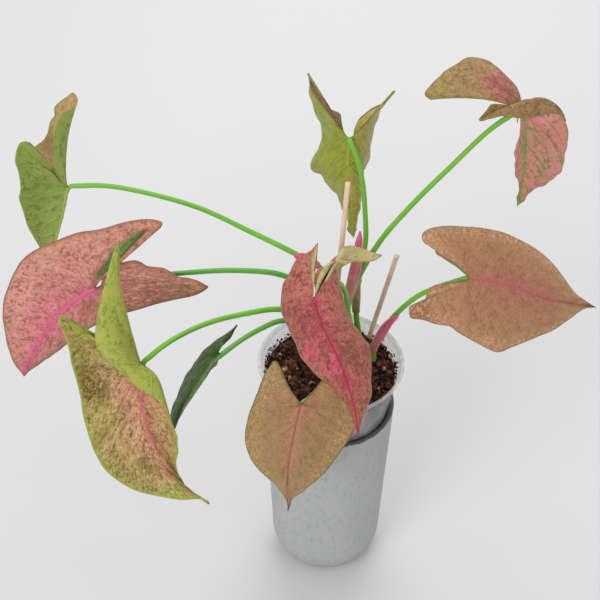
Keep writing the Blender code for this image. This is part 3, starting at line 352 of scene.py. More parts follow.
# How each blade is painted. "ramp" runs from midrib to margin. "spots" are soft areas: x, y, z and
# radius in mm, colour, share. "dark" and "light" are the tones of the streaks along the veins, and
# "contrast" says how strong all mottling is. "flecks" is (colour, share, from, to) across the blade,
# "rib" is (colour, width in mm of its glow, share, line), "rim" is (colour, width, share), and
# "flaps" are turned edges on one half: half, place from, place to, t from, colour, share. "under" is
# the lower face: base, deep tone, mottle, veins, and the second half's own base and its share.
# "lines" is how many side veins a half has before and past its widest place, "quilt" the height in mm
# of the blade between them, and "wave" the margin's ripple: height, ripples round a half, ragged mm.
LOOKS = {
    "right": {
        "ramp": [(0.0, (192, 118, 99)), (0.25, (185, 126, 94)), (0.65, (184, 135, 95)), (1.0, (187, 143, 99))],
        "spots": [(160, 26, 210, 26, (192, 154, 107), 0.6), (50, -29, 251, 13, (153, 105, 67), 0.8),
                  (171, 31, 204, 9, (134, 131, 57), 0.8), (70, -24, 243, 16, (201, 143, 111), 0.4)],
        "dark": ((158, 103, 75), 0.55), "light": ((203, 152, 111), 0.35), "contrast": 0.8,
        "flecks": ((226, 166, 134), 0.75, 0.70, 0.96), "vein": ((201, 94, 97), 0.4),
        "rib": ((203, 100, 102), 2.6, 0.35, (206, 96, 104)), "rim": ((138, 116, 63), 1.1, 0.6),
        "under": ((112, 140, 62), (84, 112, 48), (176, 124, 100), (168, 180, 96), None, 0.0),
        "lines": (7, 4), "quilt": 0.45, "wave": (0.5, 5.0, 0.0),
    },
    "front": {
        "ramp": [(0.0, (177, 123, 92)), (0.3, (165, 127, 86)), (0.7, (163, 131, 84)), (1.0, (161, 137, 84))],
        "spots": [(-19, -66, 209, 15, (190, 116, 94), 0.5), (4, -63, 210, 17, (179, 139, 92), 0.5),
                  (-25, -97, 164, 12, (171, 146, 102), 0.6), (-26, -102, 152, 6, (95, 108, 48), 0.9)],
        "dark": ((142, 108, 69), 0.5), "light": ((183, 148, 104), 0.35), "contrast": 0.8,
        "flecks": ((214, 156, 104), 0.75, 0.6, 0.97), "vein": ((200, 142, 118), 0.5),
        "rib": ((198, 132, 112), 3.2, 0.4, (160, 88, 76)), "rim": ((107, 112, 54), 1.2, 0.75),
        "under": ((104, 132, 54), (78, 108, 44), (170, 130, 90), (160, 176, 90), None, 0.0),
        "lines": (6, 4), "quilt": 0.35, "wave": (0.4, 6.0, 0.0),
    },
    "centre": {
        "ramp": [(0.0, (167, 65, 73)), (0.2, (173, 76, 81)), (0.5, (180, 96, 87)), (1.0, (177, 108, 91))],
        "spots": [(-15, -51, 237, 7, (228, 76, 128), 0.75), (-2, -61, 236, 7, (226, 84, 128), 0.7),
                  (-12, -32, 260, 6, (206, 58, 104), 0.7), (-12, -45, 249, 6, (198, 58, 88), 0.6),
                  (12, -41, 246, 13, (152, 94, 76), 0.7), (15, -55, 239, 13, (150, 90, 72), 0.7),
                  (-20, -38, 251, 15, (155, 71, 70), 0.6), (14, -82, 215, 5, (120, 118, 62), 0.8),
                  (9, -54, 243, 8, (129, 76, 55), 0.6), (15, -80, 219, 13, (165, 110, 75), 0.8)],
        "dark": ((131, 65, 58), 0.7), "light": ((200, 118, 102), 0.55), "contrast": 1.4,
        "flecks": ((208, 129, 107), 0.5, 0.4, 0.95), "vein": ((210, 78, 100), 0.4),
        "rib": ((212, 49, 92), 3.2, 0.5, (139, 45, 58)), "rim": ((208, 127, 102), 1.1, 0.6),
        "under": ((182, 180, 117), (152, 161, 86), (214, 163, 138), (203, 205, 140), None, 0.0),
        "lines": (7, 4), "quilt": 0.55, "wave": (0.8, 5.0, 0.0),
    },
    "left_large": {
        "ramp": [(0.0, (218, 112, 131)), (0.3, (213, 128, 128)), (0.65, (202, 132, 120)), (1.0, (192, 138, 112))],
        "spots": [(-199, 4, 236, 22, (228, 160, 147), 0.7), (-190, -12, 207, 18, (221, 134, 135), 0.7),
                  (-175, -12, 224, 16, (224, 118, 136), 0.7), (-145, -14, 240, 13, (177, 110, 95), 0.7),
                  (-118, -12, 254, 27, (165, 108, 87), 0.85), (-88, -15, 255, 22, (159, 114, 81), 0.85),
                  (-132, 9, 277, 18, (188, 132, 107), 0.6), (-180, 8, 263, 17, (193, 142, 113), 0.6)],
        "dark": ((153, 88, 79), 0.7), "light": ((228, 164, 148), 0.45), "contrast": 1.2,
        "flecks": ((231, 158, 137), 0.45, 0.4, 0.9), "vein": ((233, 150, 148), 0.45),
        "rib": ((226, 84, 138), 4.5, 0.6, (230, 104, 148)), "rim": ((153, 96, 69), 3.0, 0.8),
        "flaps": [(1, 1.66, 2.0, 0.86, (131, 142, 65), 0.9)],
        "under": ((92, 128, 54), (64, 102, 42), (140, 120, 70), (150, 170, 84), None, 0.0),
        "lines": (8, 5), "quilt": 0.45, "wave": (0.5, 6.0, 0.0),
    },
    "left_front": {
        "ramp": [(0.0, (208, 138, 114)), (0.25, (206, 155, 118)), (0.6, (189, 161, 98)), (1.0, (172, 172, 84))],
        "spots": [(-147, -64, 230, 9, (131, 102, 40), 0.9), (-142, -66, 219, 11, (117, 85, 32), 0.9),
                  (-112, -79, 164, 10, (140, 123, 62), 0.7), (-90, -84, 147, 16, (170, 182, 86), 0.85),
                  (-115, -69, 213, 16, (206, 134, 108), 0.6), (-152, -61, 250, 14, (184, 163, 90), 0.7),
                  (-99, -76, 172, 9, (208, 176, 122), 0.6), (-128, -75, 184, 12, (201, 159, 110), 0.5)],
        "dark": ((134, 112, 58), 0.7), "light": ((225, 193, 136), 0.55), "contrast": 1.45,
        "flecks": ((191, 182, 92), 0.5, 0.4, 0.9), "vein": ((222, 146, 126), 0.7),
        "rib": ((220, 123, 116), 3.4, 0.45, (208, 106, 108)), "rim": ((164, 176, 70), 2.6, 0.8),
        "under": ((166, 176, 68), (136, 152, 52), (185, 175, 81), (185, 193, 90), None, 0.0),
        "lines": (8, 5), "quilt": 0.6, "wave": (0.9, 5.0, 0.0),
    },
    # left_narrow: its purple-brown upper face and rim are painted shade of the far half, which hangs in shadow, and
    # its dark green under face is partly the old leaf's own green and partly painted shade.
    "left_narrow": {
        "ramp": [(0.0, (120, 90, 70)), (0.5, (104, 84, 62)), (1.0, (92, 76, 66))],
        "spots": [], "dark": ((74, 58, 50), 0.5), "light": ((130, 110, 80), 0.4), "contrast": 1.2,
        "flecks": ((130, 110, 80), 0.4, 0.4, 0.9), "vein": ((120, 110, 70), 0.4),
        "rib": ((130, 120, 80), 3.0, 0.4, (130, 120, 80)), "rim": ((110, 74, 66), 1.4, 0.8),
        "under": ((62, 96, 34), (34, 62, 24), (104, 138, 62), (132, 164, 88), None, 0.0),
        "lines": (7, 4), "quilt": 0.5, "wave": (0.5, 5.0, 0.0),
    },
    "back_left": {
        "ramp": [(0.0, (208, 153, 120)), (0.3, (204, 167, 116)), (0.7, (199, 167, 112)), (1.0, (190, 161, 102))],
        "spots": [], "dark": ((180, 139, 94), 0.5), "light": ((218, 186, 135), 0.4), "contrast": 1.2,
        "flecks": ((210, 173, 108), 0.4, 0.4, 0.9), "vein": ((210, 153, 114), 0.4),
        "rib": ((214, 137, 125), 3.5, 0.5, (210, 133, 122)), "rim": ((159, 153, 73), 1.2, 0.7),
        "under": ((147, 170, 73), (114, 141, 52), (168, 165, 94), (173, 196, 94), None, 0.0),
        "under_spots": [(-196, 68, 224, 15, (168, 178, 88), 0.7), (-186, 71, 261, 13, (125, 151, 54), 0.6)],
        "lines": (6, 4), "quilt": 0.45, "wave": (0.5, 5.0, 0.0),
    },
    "back": {
        "ramp": [(0.0, (140, 100, 70)), (0.5, (130, 92, 63)), (1.0, (124, 84, 56))],
        "spots": [], "dark": ((104, 66, 49), 0.5), "light": ((160, 120, 83), 0.4), "contrast": 1.3,
        "flecks": ((160, 120, 81), 0.4, 0.4, 0.9), "vein": ((150, 110, 81), 0.4),
        "rib": ((160, 110, 81), 3.0, 0.4, (160, 110, 81)), "rim": ((150, 140, 63), 1.2, 0.6),
        "flaps": [(0, 1.77, 2.0, 0.05, (134, 98, 67), 0.9), (1, 1.56, 1.97, 0.84, (116, 66, 49), 0.85)],
        "under": ((149, 158, 48), (129, 144, 36), (171, 166, 63), (173, 179, 60), (186, 164, 78), 0.75),
        "under_spots": [(-8, 80, 312, 14, (153, 162, 53), 0.5)],
        "lines": (6, 4), "quilt": 0.45, "wave": (0.9, 7.0, 0.9),
    },
    "right_high": {
        "ramp": [(0.0, (151, 93, 80)), (0.35, (152, 111, 78)), (0.7, (155, 121, 74)), (1.0, (158, 127, 71))],
        "spots": [(95, 48, 361, 12, (186, 82, 98), 0.8), (60, 50, 356, 12, (152, 138, 54), 0.7)],
        "dark": ((129, 92, 61), 0.6), "light": ((180, 148, 95), 0.5), "contrast": 1.4,
        "flecks": ((180, 141, 90), 0.5, 0.3, 0.9), "vein": ((166, 106, 85), 0.35),
        "rib": ((175, 84, 95), 3.0, 0.45, (171, 81, 90)), "rim": ((150, 138, 58), 1.4, 0.75),
        "under": ((208, 142, 118), (134, 130, 62), (236, 124, 146), (130, 152, 78), None, 0.0),
        "under_spots": [(115, 34, 325, 12, (168, 129, 93), 0.6), (131, 35, 317, 12, (220, 156, 136), 0.6),
                        (120, 31, 354, 12, (240, 152, 160), 0.8)],
        "lines": (6, 5), "quilt": 0.5, "wave": (1.0, 6.0, 0.5),
    },
}


# Curves and meshes


def smooth_curve(points, shares, knots=None):
    """Points on a smooth curve through the given points, at shares of its length or at its own knots.

    Each span is a cubic whose end slopes are the weighted mean of the two straight spans beside it.
    """
    given = np.asarray(points, float)
    if knots is None:
        knots = np.concatenate([[0.0], np.cumsum(np.sqrt(np.linalg.norm(np.diff(given, axis=0), axis=1)))])
        knots = knots / knots[-1]
    spans = np.diff(knots)
    slopes = np.diff(given, axis=0) / spans[:, None]
    tangents = np.zeros_like(given)
    before, after = spans[:-1, None], spans[1:, None]
    tangents[1:-1] = (slopes[:-1] * after + slopes[1:] * before) / (before + after)
    tangents[0] = 1.5 * slopes[0] - 0.5 * tangents[1]
    tangents[-1] = 1.5 * slopes[-1] - 0.5 * tangents[-2]
    shares = np.clip(shares, knots[0], knots[-1])
    i = np.clip(np.searchsorted(knots, shares, side="right") - 1, 0, len(given) - 2)
    span = spans[i][:, None]
    u = ((shares - knots[i]) / spans[i])[:, None]
    return (
        (2 * u**3 - 3 * u**2 + 1) * given[i]
        + (u**3 - 2 * u**2 + u) * span * tangents[i]
        + (3 * u**2 - 2 * u**3) * given[i + 1]
        + (u**3 - u**2) * span * tangents[i + 1]
    )


def eased(at, knots, values):
    """Values between knots, blended by 3u^2 - 2u^3, so that they level out at each knot."""
    i = np.clip(np.searchsorted(knots, at, side="right") - 1, 0, len(knots) - 2)
    u = np.clip((at - knots[i]) / (knots[i + 1] - knots[i]), 0.0, 1.0)
    u = u * u * (3 - 2 * u)
    return values[i] * (1 - u)[..., None] + values[i + 1] * u[..., None]


def step_up(low, high, value):
    """0 below low, 1 above high, and 3u^2 - 2u^3 between them."""
    u = np.clip((value - low) / (high - low), 0.0, 1.0)
    return u * u * (3 - 2 * u)


def unit(vectors):
    """The same vectors with length 1."""
    return vectors / np.maximum(np.linalg.norm(vectors, axis=-1, keepdims=True), 1e-12)


def put_mesh(name, points, faces, materials, uv=None, values=None, face_materials=None):
    """An object at the origin from points in millimetres and face groups of one corner count each.

    uv holds one pair for each face corner, values holds one number for each point under each name.
    """
    groups = [np.asarray(group, np.int32) for group in faces if len(group)]
    corners = np.concatenate([group.ravel() for group in groups])
    counts = np.concatenate([np.full(len(group), group.shape[1]) for group in groups])
    mesh = bpy.data.meshes.new(name)
    mesh.vertices.add(len(points))
    mesh.vertices.foreach_set("co", (np.asarray(points) * MM).astype(np.float32).ravel())
    mesh.loops.add(len(corners))
    mesh.loops.foreach_set("vertex_index", corners)
    mesh.polygons.add(len(counts))
    mesh.polygons.foreach_set("loop_start", np.concatenate([[0], np.cumsum(counts)[:-1]]).astype(np.int32))
    mesh.update(calc_edges=True)
    if uv is not None:
        mesh.uv_layers.new(name="UVMap").uv.foreach_set("vector", np.asarray(uv, np.float32).ravel())
    for key, numbers in (values or {}).items():
        mesh.attributes.new(key, "FLOAT", "POINT").data.foreach_set("value", numbers.astype(np.float32))
    for material in materials:
        mesh.materials.append(material)
    if face_materials is not None:
        mesh.polygons.foreach_set("material_index", np.asarray(face_materials, np.int32))
    mesh.shade_smooth()
    obj = bpy.data.objects.new(name, mesh)
    bpy.context.scene.collection.objects.link(obj)
    return obj


def hand_over(obj, nodes):
    """The piece rides on the one body and stands for its CAD nodes, which it hides."""
    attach(obj, "root")
    if nodes:
        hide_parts(*nodes)
    return obj


def ring_faces(rings, sides):
    """Quads of a skin of rings that close on themselves, and each corner's (around, along) count."""
    i, j = np.meshgrid(np.arange(rings - 1), np.arange(sides), indexing="ij")
    i, j = i.ravel(), j.ravel()
    after = (j + 1) % sides
    quads = np.stack([i * sides + j, i * sides + after, (i + 1) * sides + after, (i + 1) * sides + j], axis=1)
    around = np.stack([j, j + 1, j + 1, j], axis=1)
    along = np.stack([i, i, i + 1, i + 1], axis=1)
    return quads, around, along


def closed_skin(rings, low, high, lengths=None):
    """A closed skin from an array of rings (ring, side, xyz) with a point at each end.

    Returns points, face groups and the UV of each corner: turns round and millimetres along.
    """
    count, sides = rings.shape[:2]
    points = np.vstack([rings.reshape(-1, 3), low, high])
    quads, around, along = ring_faces(count, sides)
    here = np.arange(sides)
    there = (here + 1) % sides
    foot = np.stack([np.full(sides, count * sides), there, here], axis=1)
    last = (count - 1) * sides
    head = np.stack([np.full(sides, count * sides + 1), last + here, last + there], axis=1)
    if lengths is None:
        steps = np.linalg.norm(np.diff(rings.mean(axis=1), axis=0), axis=1)
        lengths = np.concatenate([[0.0], np.cumsum(steps)])
    uv = [np.stack([around / sides, lengths[along]], axis=-1).reshape(-1, 2)]
    for end, order in ((0.0, (here, there, here)), (lengths[-1], (here, here, there))):
        corner = np.stack(order, axis=1) / sides
        uv.append(np.stack([corner, np.full_like(corner, end)], axis=-1).reshape(-1, 2))
    return points, [quads, np.vstack([foot, head])], np.vstack(uv)


def path_frame(centres):
    """Direction along a path and two square directions beside it, at each of its points.

    The first side is the axis that the path turns about least, made square to the path.
    """
    along = unit(np.gradient(centres, axis=0))
    axis = np.linalg.svd(along)[2][-1]
    side = unit(axis - (along @ axis)[:, None] * along)
    return along, side, np.cross(along, side)


def swept_skin(centres, radii, sides):
    """A closed skin carried along a path. radii is one number for each ring, or for each ring and side.

    Point = centre + radius (cos a * side + sin a * other), for the turn a round the path.
    """
    along, side, other = path_frame(centres)
    radii = np.asarray(radii, float)
    radii = np.repeat(radii[:, None], sides, axis=1) if radii.ndim == 1 else radii
    a = 2 * math.pi * np.arange(sides) / sides
    spoke = np.cos(a)[None, :, None] * side[:, None] + np.sin(a)[None, :, None] * other[:, None]
    rings = centres[:, None] + radii[:, :, None] * spoke
    return closed_skin(rings, centres[0], centres[-1])


def turned_skin(profile, steps, relief=None):
    """A closed outline of (radius, z) turned about Z: x = r cos a, y = r sin a.

    relief, if given, takes x, y, z arrays and returns how far each point moves outwards and up.
    """
    profile = np.asarray(profile, float)
    a = 2 * math.pi * np.arange(steps) / steps
    r, z = profile[1:-1, 0, None], profile[1:-1, 1, None]
    rings = np.stack([r * np.cos(a), r * np.sin(a), np.repeat(z, steps, axis=1)], axis=-1)
    if relief is not None:
        outward, up = relief(*np.moveaxis(rings, -1, 0))
        flat = unit(rings * (1.0, 1.0, 0.0))
        rings = rings + flat * outward[..., None] + np.array([0.0, 0.0, 1.0]) * up[..., None]
    path = np.concatenate([[0.0], np.cumsum(np.linalg.norm(np.diff(profile[1:-1], axis=0), axis=1))])
    low, high = (0.0, 0.0, profile[0, 1]), (0.0, 0.0, rings[-1, :, 2].mean())
    return closed_skin(rings, low, high, path)


def waves(points, scale, seed, count=9):
    """A smooth bumpy field from -1 to 1: the mean of sines along random directions, three octaves."""
    rng = np.random.default_rng(seed)
    total = np.zeros(points.shape[:-1])
    weight = 0.0
    for octave in range(3):
        ways = rng.normal(size=(count, 3)) * (2.0**octave / scale)
        phases = rng.uniform(0, 2 * math.pi, count)
        total += np.sin(points @ ways.T + phases).sum(axis=-1) / (count * 2.0**octave)
        weight += 0.55 / 2.0**octave
    return total / weight


def scattered(shape, triangles, places, sizes, rough, rng):
    """Many copies of one small shape: point = place + turned(size * (1 + rough * noise) * shape point).

    sizes holds three lengths for each copy, and the turns are random unit quaternions.
    """
    count, corners = len(places), len(shape)
    w, x, y, z = unit(rng.normal(size=(count, 4))).T
    turn = np.stack([
        1 - 2 * (y * y + z * z), 2 * (x * y - z * w), 2 * (x * z + y * w),
        2 * (x * y + z * w), 1 - 2 * (x * x + z * z), 2 * (y * z - x * w),
        2 * (x * z - y * w), 2 * (y * z + x * w), 1 - 2 * (x * x + y * y),
    ], axis=-1).reshape(count, 3, 3)
    noise = 1 + rough * rng.uniform(-1, 1, (count, corners, 1))
    points = (shape[None] * noise * sizes[:, None, :]) @ turn.transpose(0, 2, 1) + places[:, None]
    faces = triangles[None] + (np.arange(count) * corners)[:, None, None]
    return points.reshape(-1, 3), faces.reshape(-1, 3)


def ball(rounds):
    """Points and triangles of a unit ball: a 20-sided solid, split and pushed out again each round."""
    g = (1 + math.sqrt(5)) / 2
    points = [(-1, g, 0), (1, g, 0), (-1, -g, 0), (1, -g, 0), (0, -1, g), (0, 1, g), (0, -1, -g), (0, 1, -g),
              (g, 0, -1), (g, 0, 1), (-g, 0, -1), (-g, 0, 1)]
    triangles = [(0, 11, 5), (0, 5, 1), (0, 1, 7), (0, 7, 10), (0, 10, 11), (1, 5, 9), (5, 11, 4), (11, 10, 2),
                 (10, 7, 6), (7, 1, 8), (3, 9, 4), (3, 4, 2), (3, 2, 6), (3, 6, 8), (3, 8, 9), (4, 9, 5),
                 (2, 4, 11), (6, 2, 10), (8, 6, 7), (9, 8, 1)]
    points, triangles = unit(np.array(points, float)), np.array(triangles)
    for _ in range(rounds):
        a, b, c = triangles.T
        middles = [unit(points[p] + points[q]) for p, q in ((a, b), (b, c), (c, a))]
        soup = np.stack([points[a], points[b], points[c], *middles], axis=1)
        parts = np.array([(0, 3, 5), (3, 1, 4), (5, 4, 2), (3, 4, 5)])
        corners = soup[:, parts].reshape(-1, 3)
        _, first, back = np.unique(np.round(corners, 6), axis=0, return_index=True, return_inverse=True)
        points, triangles = corners[first], back.reshape(-1, 3)
    return points, triangles


# Materials


def shade(red, green, blue):
    """A colour picked as 0 to 255 on a screen, as linear red, green, blue and 1."""
    picked = np.array([red, green, blue]) / 255.0
    linear = np.where(picked <= 0.04045, picked / 12.92, ((picked + 0.055) / 1.055) ** 2.4)
    return (*linear.tolist(), 1.0)


class Paint:
    """A node material under construction, with short names for the nodes that it needs."""

    def __init__(self, name):
        self.material = bpy.data.materials.new(name)
        self.material.use_nodes = True
        self.tree = self.material.node_tree
        self.shader = self.tree.nodes["Principled BSDF"]
        self.place = self.node("ShaderNodeTexCoord").outputs["Object"]

    def feed(self, socket, value):
        """A socket is linked to another node's, or holds a value."""
        if isinstance(value, bpy.types.NodeSocket):
            self.tree.links.new(value, socket)
        else:
            socket.default_value = value

    def node(self, kind, inputs=None, **settings):
        made = self.tree.nodes.new(kind)
        for key, value in settings.items():
            setattr(made, key, value)
        for socket, value in (inputs or {}).items():
            self.feed(made.inputs[socket], value)
        return made

    def finish(self, **sockets):
        """Feed the shader's sockets, whose names are written with _ for a blank."""
        for key, value in sockets.items():
            self.feed(self.shader.inputs[key.replace("_", " ")], value)
        return self.material

    def number(self, name):
        """A number that the mesh holds for each point."""
        return self.node("ShaderNodeAttribute", attribute_name=name).outputs["Fac"]

    def uv(self):
        """The two numbers of the piece's own UV map."""
        split = self.node("ShaderNodeSeparateXYZ", {0: self.node("ShaderNodeUVMap", uv_map="UVMap").outputs[0]})
        return split.outputs[0], split.outputs[1]

    def xyz(self):
        """The place on the piece, as three numbers in metres."""
        split = self.node("ShaderNodeSeparateXYZ", {0: self.place})
        return split.outputs[0], split.outputs[1], split.outputs[2]

    def vector(self, x, y, z=0.0):
        return self.node("ShaderNodeCombineXYZ", {0: x, 1: y, 2: z}).outputs[0]

    def maths(self, operation, a, b=0.0, clamp=False):
        return self.node("ShaderNodeMath", {0: a, 1: b}, operation=operation, use_clamp=clamp).outputs[0]

    def add(self, a, b):
        return self.maths("ADD", a, b)

    def times(self, *factors):
        product = factors[0]
        for factor in factors[1:]:
            product = self.maths("MULTIPLY", product, factor)
        return product

    def spread(self, value, low, high, to_low=0.0, to_high=1.0):
        """A value taken from low..high to to_low..to_high, easing in and out."""
        made = self.node("ShaderNodeMapRange", {0: value, 1: low, 2: high, 3: to_low, 4: to_high},
                         interpolation_type="SMOOTHSTEP")
        return made.outputs[0]

    def noise(self, vector, scale, detail=3.0, rough=0.55, warp=0.0):
        made = self.node("ShaderNodeTexNoise", {"Vector": vector, "Scale": scale, "Detail": detail,
                                                "Roughness": rough, "Distortion": warp})
        return made.outputs["Fac"]

    def grain(self, size, detail=3.0, rough=0.55, warp=0.0):
        """Noise on the piece itself, whose lumps are about size millimetres across."""
        return self.noise(self.place, 1.0 / (size * MM), detail, rough, warp)

    def ramp(self, value, stops):
        """Colours picked from a list of (value, colour)."""
        made = self.node("ShaderNodeValToRGB", {0: value})
        band = made.color_ramp
        while len(band.elements) < len(stops):
            band.elements.new(1.0)
        for element, (at, colour) in zip(band.elements, stops):
            element.position = at
            element.color = shade(*colour)
        return made.outputs[0]

    def mixed(self, share, a, b, kind="MIX"):
        """Colour a, with a share of colour b over it."""
        a, b = [shade(*c) if isinstance(c, tuple) and len(c) == 3 else c for c in (a, b)]
        made = self.node("ShaderNodeMix", {0: share, 6: a, 7: b}, data_type="RGBA", blend_type=kind)
        return made.outputs[2]

    def bump(self, height, depth, under=None):
        """Fine relief: height 0 to 1 stands for 0 to depth millimetres."""
        inputs = {"Height": height, "Distance": depth * MM, "Strength": 1.0}
        if under is not None:
            inputs["Normal"] = under
        return self.node("ShaderNodeBump", inputs).outputs[0]


def spotted(p, colour, spots, stray):
    """Soft areas over a colour: each is strongest at its centre and frays along the stray number."""
    for x, y, z, radius, tint, share in spots:
        centre = (x * MM, y * MM, z * MM)
        away = p.node("ShaderNodeVectorMath", {0: p.place, 1: centre}, operation="DISTANCE").outputs["Value"]
        away = p.add(p.times(away, 1.0 / (radius * MM)), stray)
        colour = p.mixed(p.spread(away, 0.45, 1.25, share, 0.0), colour, tint)
    return colour


def flapped(p, colour, flaps, phase, t, place):
    """Turned edges over a colour: a stretch of one half's rim between two places."""
    for half, low, high, t_low, tint, share in flaps:
        own = p.spread(phase, 20.0, 30.0) if half else p.spread(phase, 20.0, 30.0, 1.0, 0.0)
        along = p.times(p.spread(place, low, low + 0.06), p.spread(place, high - 0.04, high + 0.01, 1.0, 0.0))
        across = p.spread(t, t_low, min(1.0, t_low + 0.08))
        colour = p.mixed(p.times(own, along, across, share), colour, tint)
    return colour


def upper_paint(name, look):
    """Upper face of a blade: tones from midrib to margin, frayed by streaks along the veins, and lines."""
    p = Paint(f"{name}_upper")
    phase, t = p.uv()
    across, reach, place = p.number("across"), p.number("reach"), p.number("place")
    rib, edge, gap = p.number("rib_mm"), p.number("edge_mm"), p.number("gap_mm")
    strong = look["contrast"]
    streak = p.noise(p.vector(phase, p.times(t, 1.3)), 3.0, 4.0, 0.62, 0.9)
    fibre = p.noise(p.vector(p.times(phase, 2.6), p.times(t, 4.2), 3.0), 3.0, 3.0, 0.62, 0.6)
    blotch = p.grain(13.0, 3.0, 0.55, 0.5)
    patch = p.grain(look.get("patch", 4.5), 4.0, 0.6, 1.0)
    mottle = p.grain(2.0, 4.0, 0.66, 0.7)

    frayed = p.add(p.times(p.add(streak, -0.5), 0.7), p.times(p.add(blotch, -0.5), 0.9))
    colour = p.ramp(p.add(across, p.times(frayed, 0.6)), look["ramp"])
    colour = spotted(p, colour, look["spots"], frayed)
    weave = p.add(p.add(p.times(streak, 0.35), p.times(fibre, 0.3)), p.times(patch, 0.35))
    for key, low, high, side in (("dark", 0.505, 0.57, (0.0, 1.0)), ("light", 0.42, 0.485, (1.0, 0.0))):
        tint, share = look[key]
        share *= strong
        colour = p.mixed(p.spread(weave, low, high, side[0] * share, side[1] * share), colour, tint)
    colour = p.mixed(p.spread(mottle, 0.40, 0.50, 0.6 * strong, 0.0), colour, (208, 196, 184), "MULTIPLY")
    fleck_colour, fleck_share, fleck_low, fleck_high = look["flecks"]
    fine = p.add(p.times(p.noise(p.vector(p.times(phase, 3.2), p.times(t, 7.0), 5.0), 3.0, 3.0, 0.6, 0.6), 0.5),
                 p.times(p.grain(2.6, 3.0, 0.6, 0.8), 0.5))
    zone = p.times(p.spread(across, fleck_low, fleck_low + 0.2), p.spread(across, fleck_high, 1.04, 1.0, 0.2))
    colour = p.mixed(p.times(p.spread(fine, 0.50, 0.57), zone, fleck_share), colour, fleck_colour)

    line = p.maths("ABSOLUTE", p.add(p.maths("FRACT", p.add(phase, 0.5)), -0.5))
    line_mm = p.times(line, gap)
    vein_colour, vein_share = look["vein"]
    vein = p.times(p.spread(line_mm, 0.10, 0.60, 1.0, 0.0), p.spread(across, 0.65, 0.92, 1.0, 0.0),
                   p.spread(gap, 1.2, 3.0))
    broken = p.spread(fibre, 0.35, 0.6, 0.35, 1.0)
    colour = p.mixed(p.times(vein, broken, vein_share), colour, vein_colour)
    rib_colour, glow_mm, glow_share, rib_line = look["rib"]
    glow = p.times(p.spread(rib, 0.4, glow_mm, glow_share, 0.0), p.spread(streak, 0.3, 0.6, 0.45, 1.0))
    colour = p.mixed(glow, colour, rib_colour)
    rib_width = p.spread(reach, 0.0, 1.0, 1.1, 0.4)
    on_rib = p.spread(p.maths("DIVIDE", rib, rib_width), 0.35, 1.0, 1.0, 0.0)
    colour = p.mixed(p.times(on_rib, 0.9), colour, rib_line)
    colour = flapped(p, colour, look.get("flaps", ()), phase, t, place)
    rim_colour, rim_mm, rim_share = look["rim"]
    colour = p.mixed(p.spread(edge, 0.2, rim_mm, rim_share, 0.0), colour, rim_colour)

    tooth = p.add(p.times(mottle, 0.35), p.times(weave, 1.4))
    groove = p.add(tooth, p.times(vein, -0.12))
    return p.finish(
        Base_Color=colour, Roughness=p.spread(mottle, 0.3, 0.7, 0.36, 0.5),
        Normal=p.bump(groove, look.get("relief", 1.3)), Specular_IOR_Level=0.42,
    )


def under_paint(name, look):
    """Under face of a blade: its own green with a deep tone and a mottle, and paler veins."""
    p = Paint(f"{name}_under")
    phase, t = p.uv()
    across, place = p.number("across"), p.number("place")
    rib, edge, gap = p.number("rib_mm"), p.number("edge_mm"), p.number("gap_mm")
    base, deep, tint, line_colour, other, other_share = look["under"]
    strong = look["contrast"]
    streak = p.noise(p.vector(phase, p.times(t, 1.3), 7.0), 3.0, 4.0, 0.62, 0.8)
    fibre = p.noise(p.vector(p.times(phase, 3.0), p.times(t, 5.5), 3.0), 3.0, 3.0, 0.62, 0.6)
    blotch = p.grain(10.0, 3.0, 0.55, 0.5)
    frayed = p.add(p.times(p.add(streak, -0.5), 0.7), p.times(p.add(blotch, -0.5), 0.9))
    colour = p.mixed(p.spread(blotch, 0.35, 0.65, 0.0, 0.25), base, tint)
    if other is not None:
        half = p.times(p.spread(phase, 20.0, 30.0), other_share)
        colour = p.mixed(half, colour, other)
    colour = spotted(p, colour, look.get("under_spots", ()), frayed)
    weave = p.add(p.add(p.times(streak, 0.35), p.times(fibre, 0.3)), p.times(p.grain(4.5, 4.0, 0.6, 1.0), 0.35))
    colour = p.mixed(p.spread(weave, 0.50, 0.57, 0.0, 0.8 * strong), colour, deep)
    colour = p.mixed(p.spread(weave, 0.41, 0.48, 0.65 * strong, 0.0), colour, tint)
    line = p.maths("ABSOLUTE", p.add(p.maths("FRACT", p.add(phase, 0.5)), -0.5))
    vein = p.times(p.spread(p.times(line, gap), 0.15, 0.8, 1.0, 0.0), p.spread(across, 0.72, 0.95, 1.0, 0.0),
                   p.spread(gap, 1.2, 3.0))
    colour = p.mixed(p.times(vein, 0.35), colour, line_colour)
    colour = p.mixed(p.spread(rib, 0.5, 1.8, 0.8, 0.0), colour, line_colour)
    colour = flapped(p, colour, look.get("flaps", ()), phase, t, place)
    colour = p.mixed(p.spread(edge, 0.2, 0.9, 0.55, 0.0), colour, look["rim"][0])
    return p.finish(
        Base_Color=colour, Roughness=p.spread(p.grain(3.0, 2.0), 0.3, 0.7, 0.36, 0.5),
        Normal=p.bump(p.add(p.times(weave, 1.4), p.times(vein, 0.3)), 1.1), Specular_IOR_Level=0.45,
    )


def stalk_paint(name, foot, middle, top):
    """A stalk: one colour at the foot, one along it and one at its top, with fine streaks along it."""
    p = Paint(name)
    around, along = p.uv()
    streak = p.noise(p.vector(p.times(around, 9.0), p.times(along, 0.035)), 1.6, 3.0, 0.6)
    colour = p.ramp(p.number("share"), [(0.0, foot), (0.1, middle), (0.86, middle), (1.0, top)])
    colour = p.mixed(p.spread(streak, 0.5, 0.72, 0.0, 0.4), colour, tuple(min(255, c + 32) for c in middle))
    colour = p.mixed(p.spread(streak, 0.3, 0.45, 0.3, 0.0), colour, tuple(int(c * 0.72) for c in middle))
    return p.finish(Base_Color=colour, Roughness=p.spread(streak, 0.3, 0.7, 0.34, 0.48),
                    Normal=p.bump(streak, 0.12), Specular_IOR_Level=0.5)


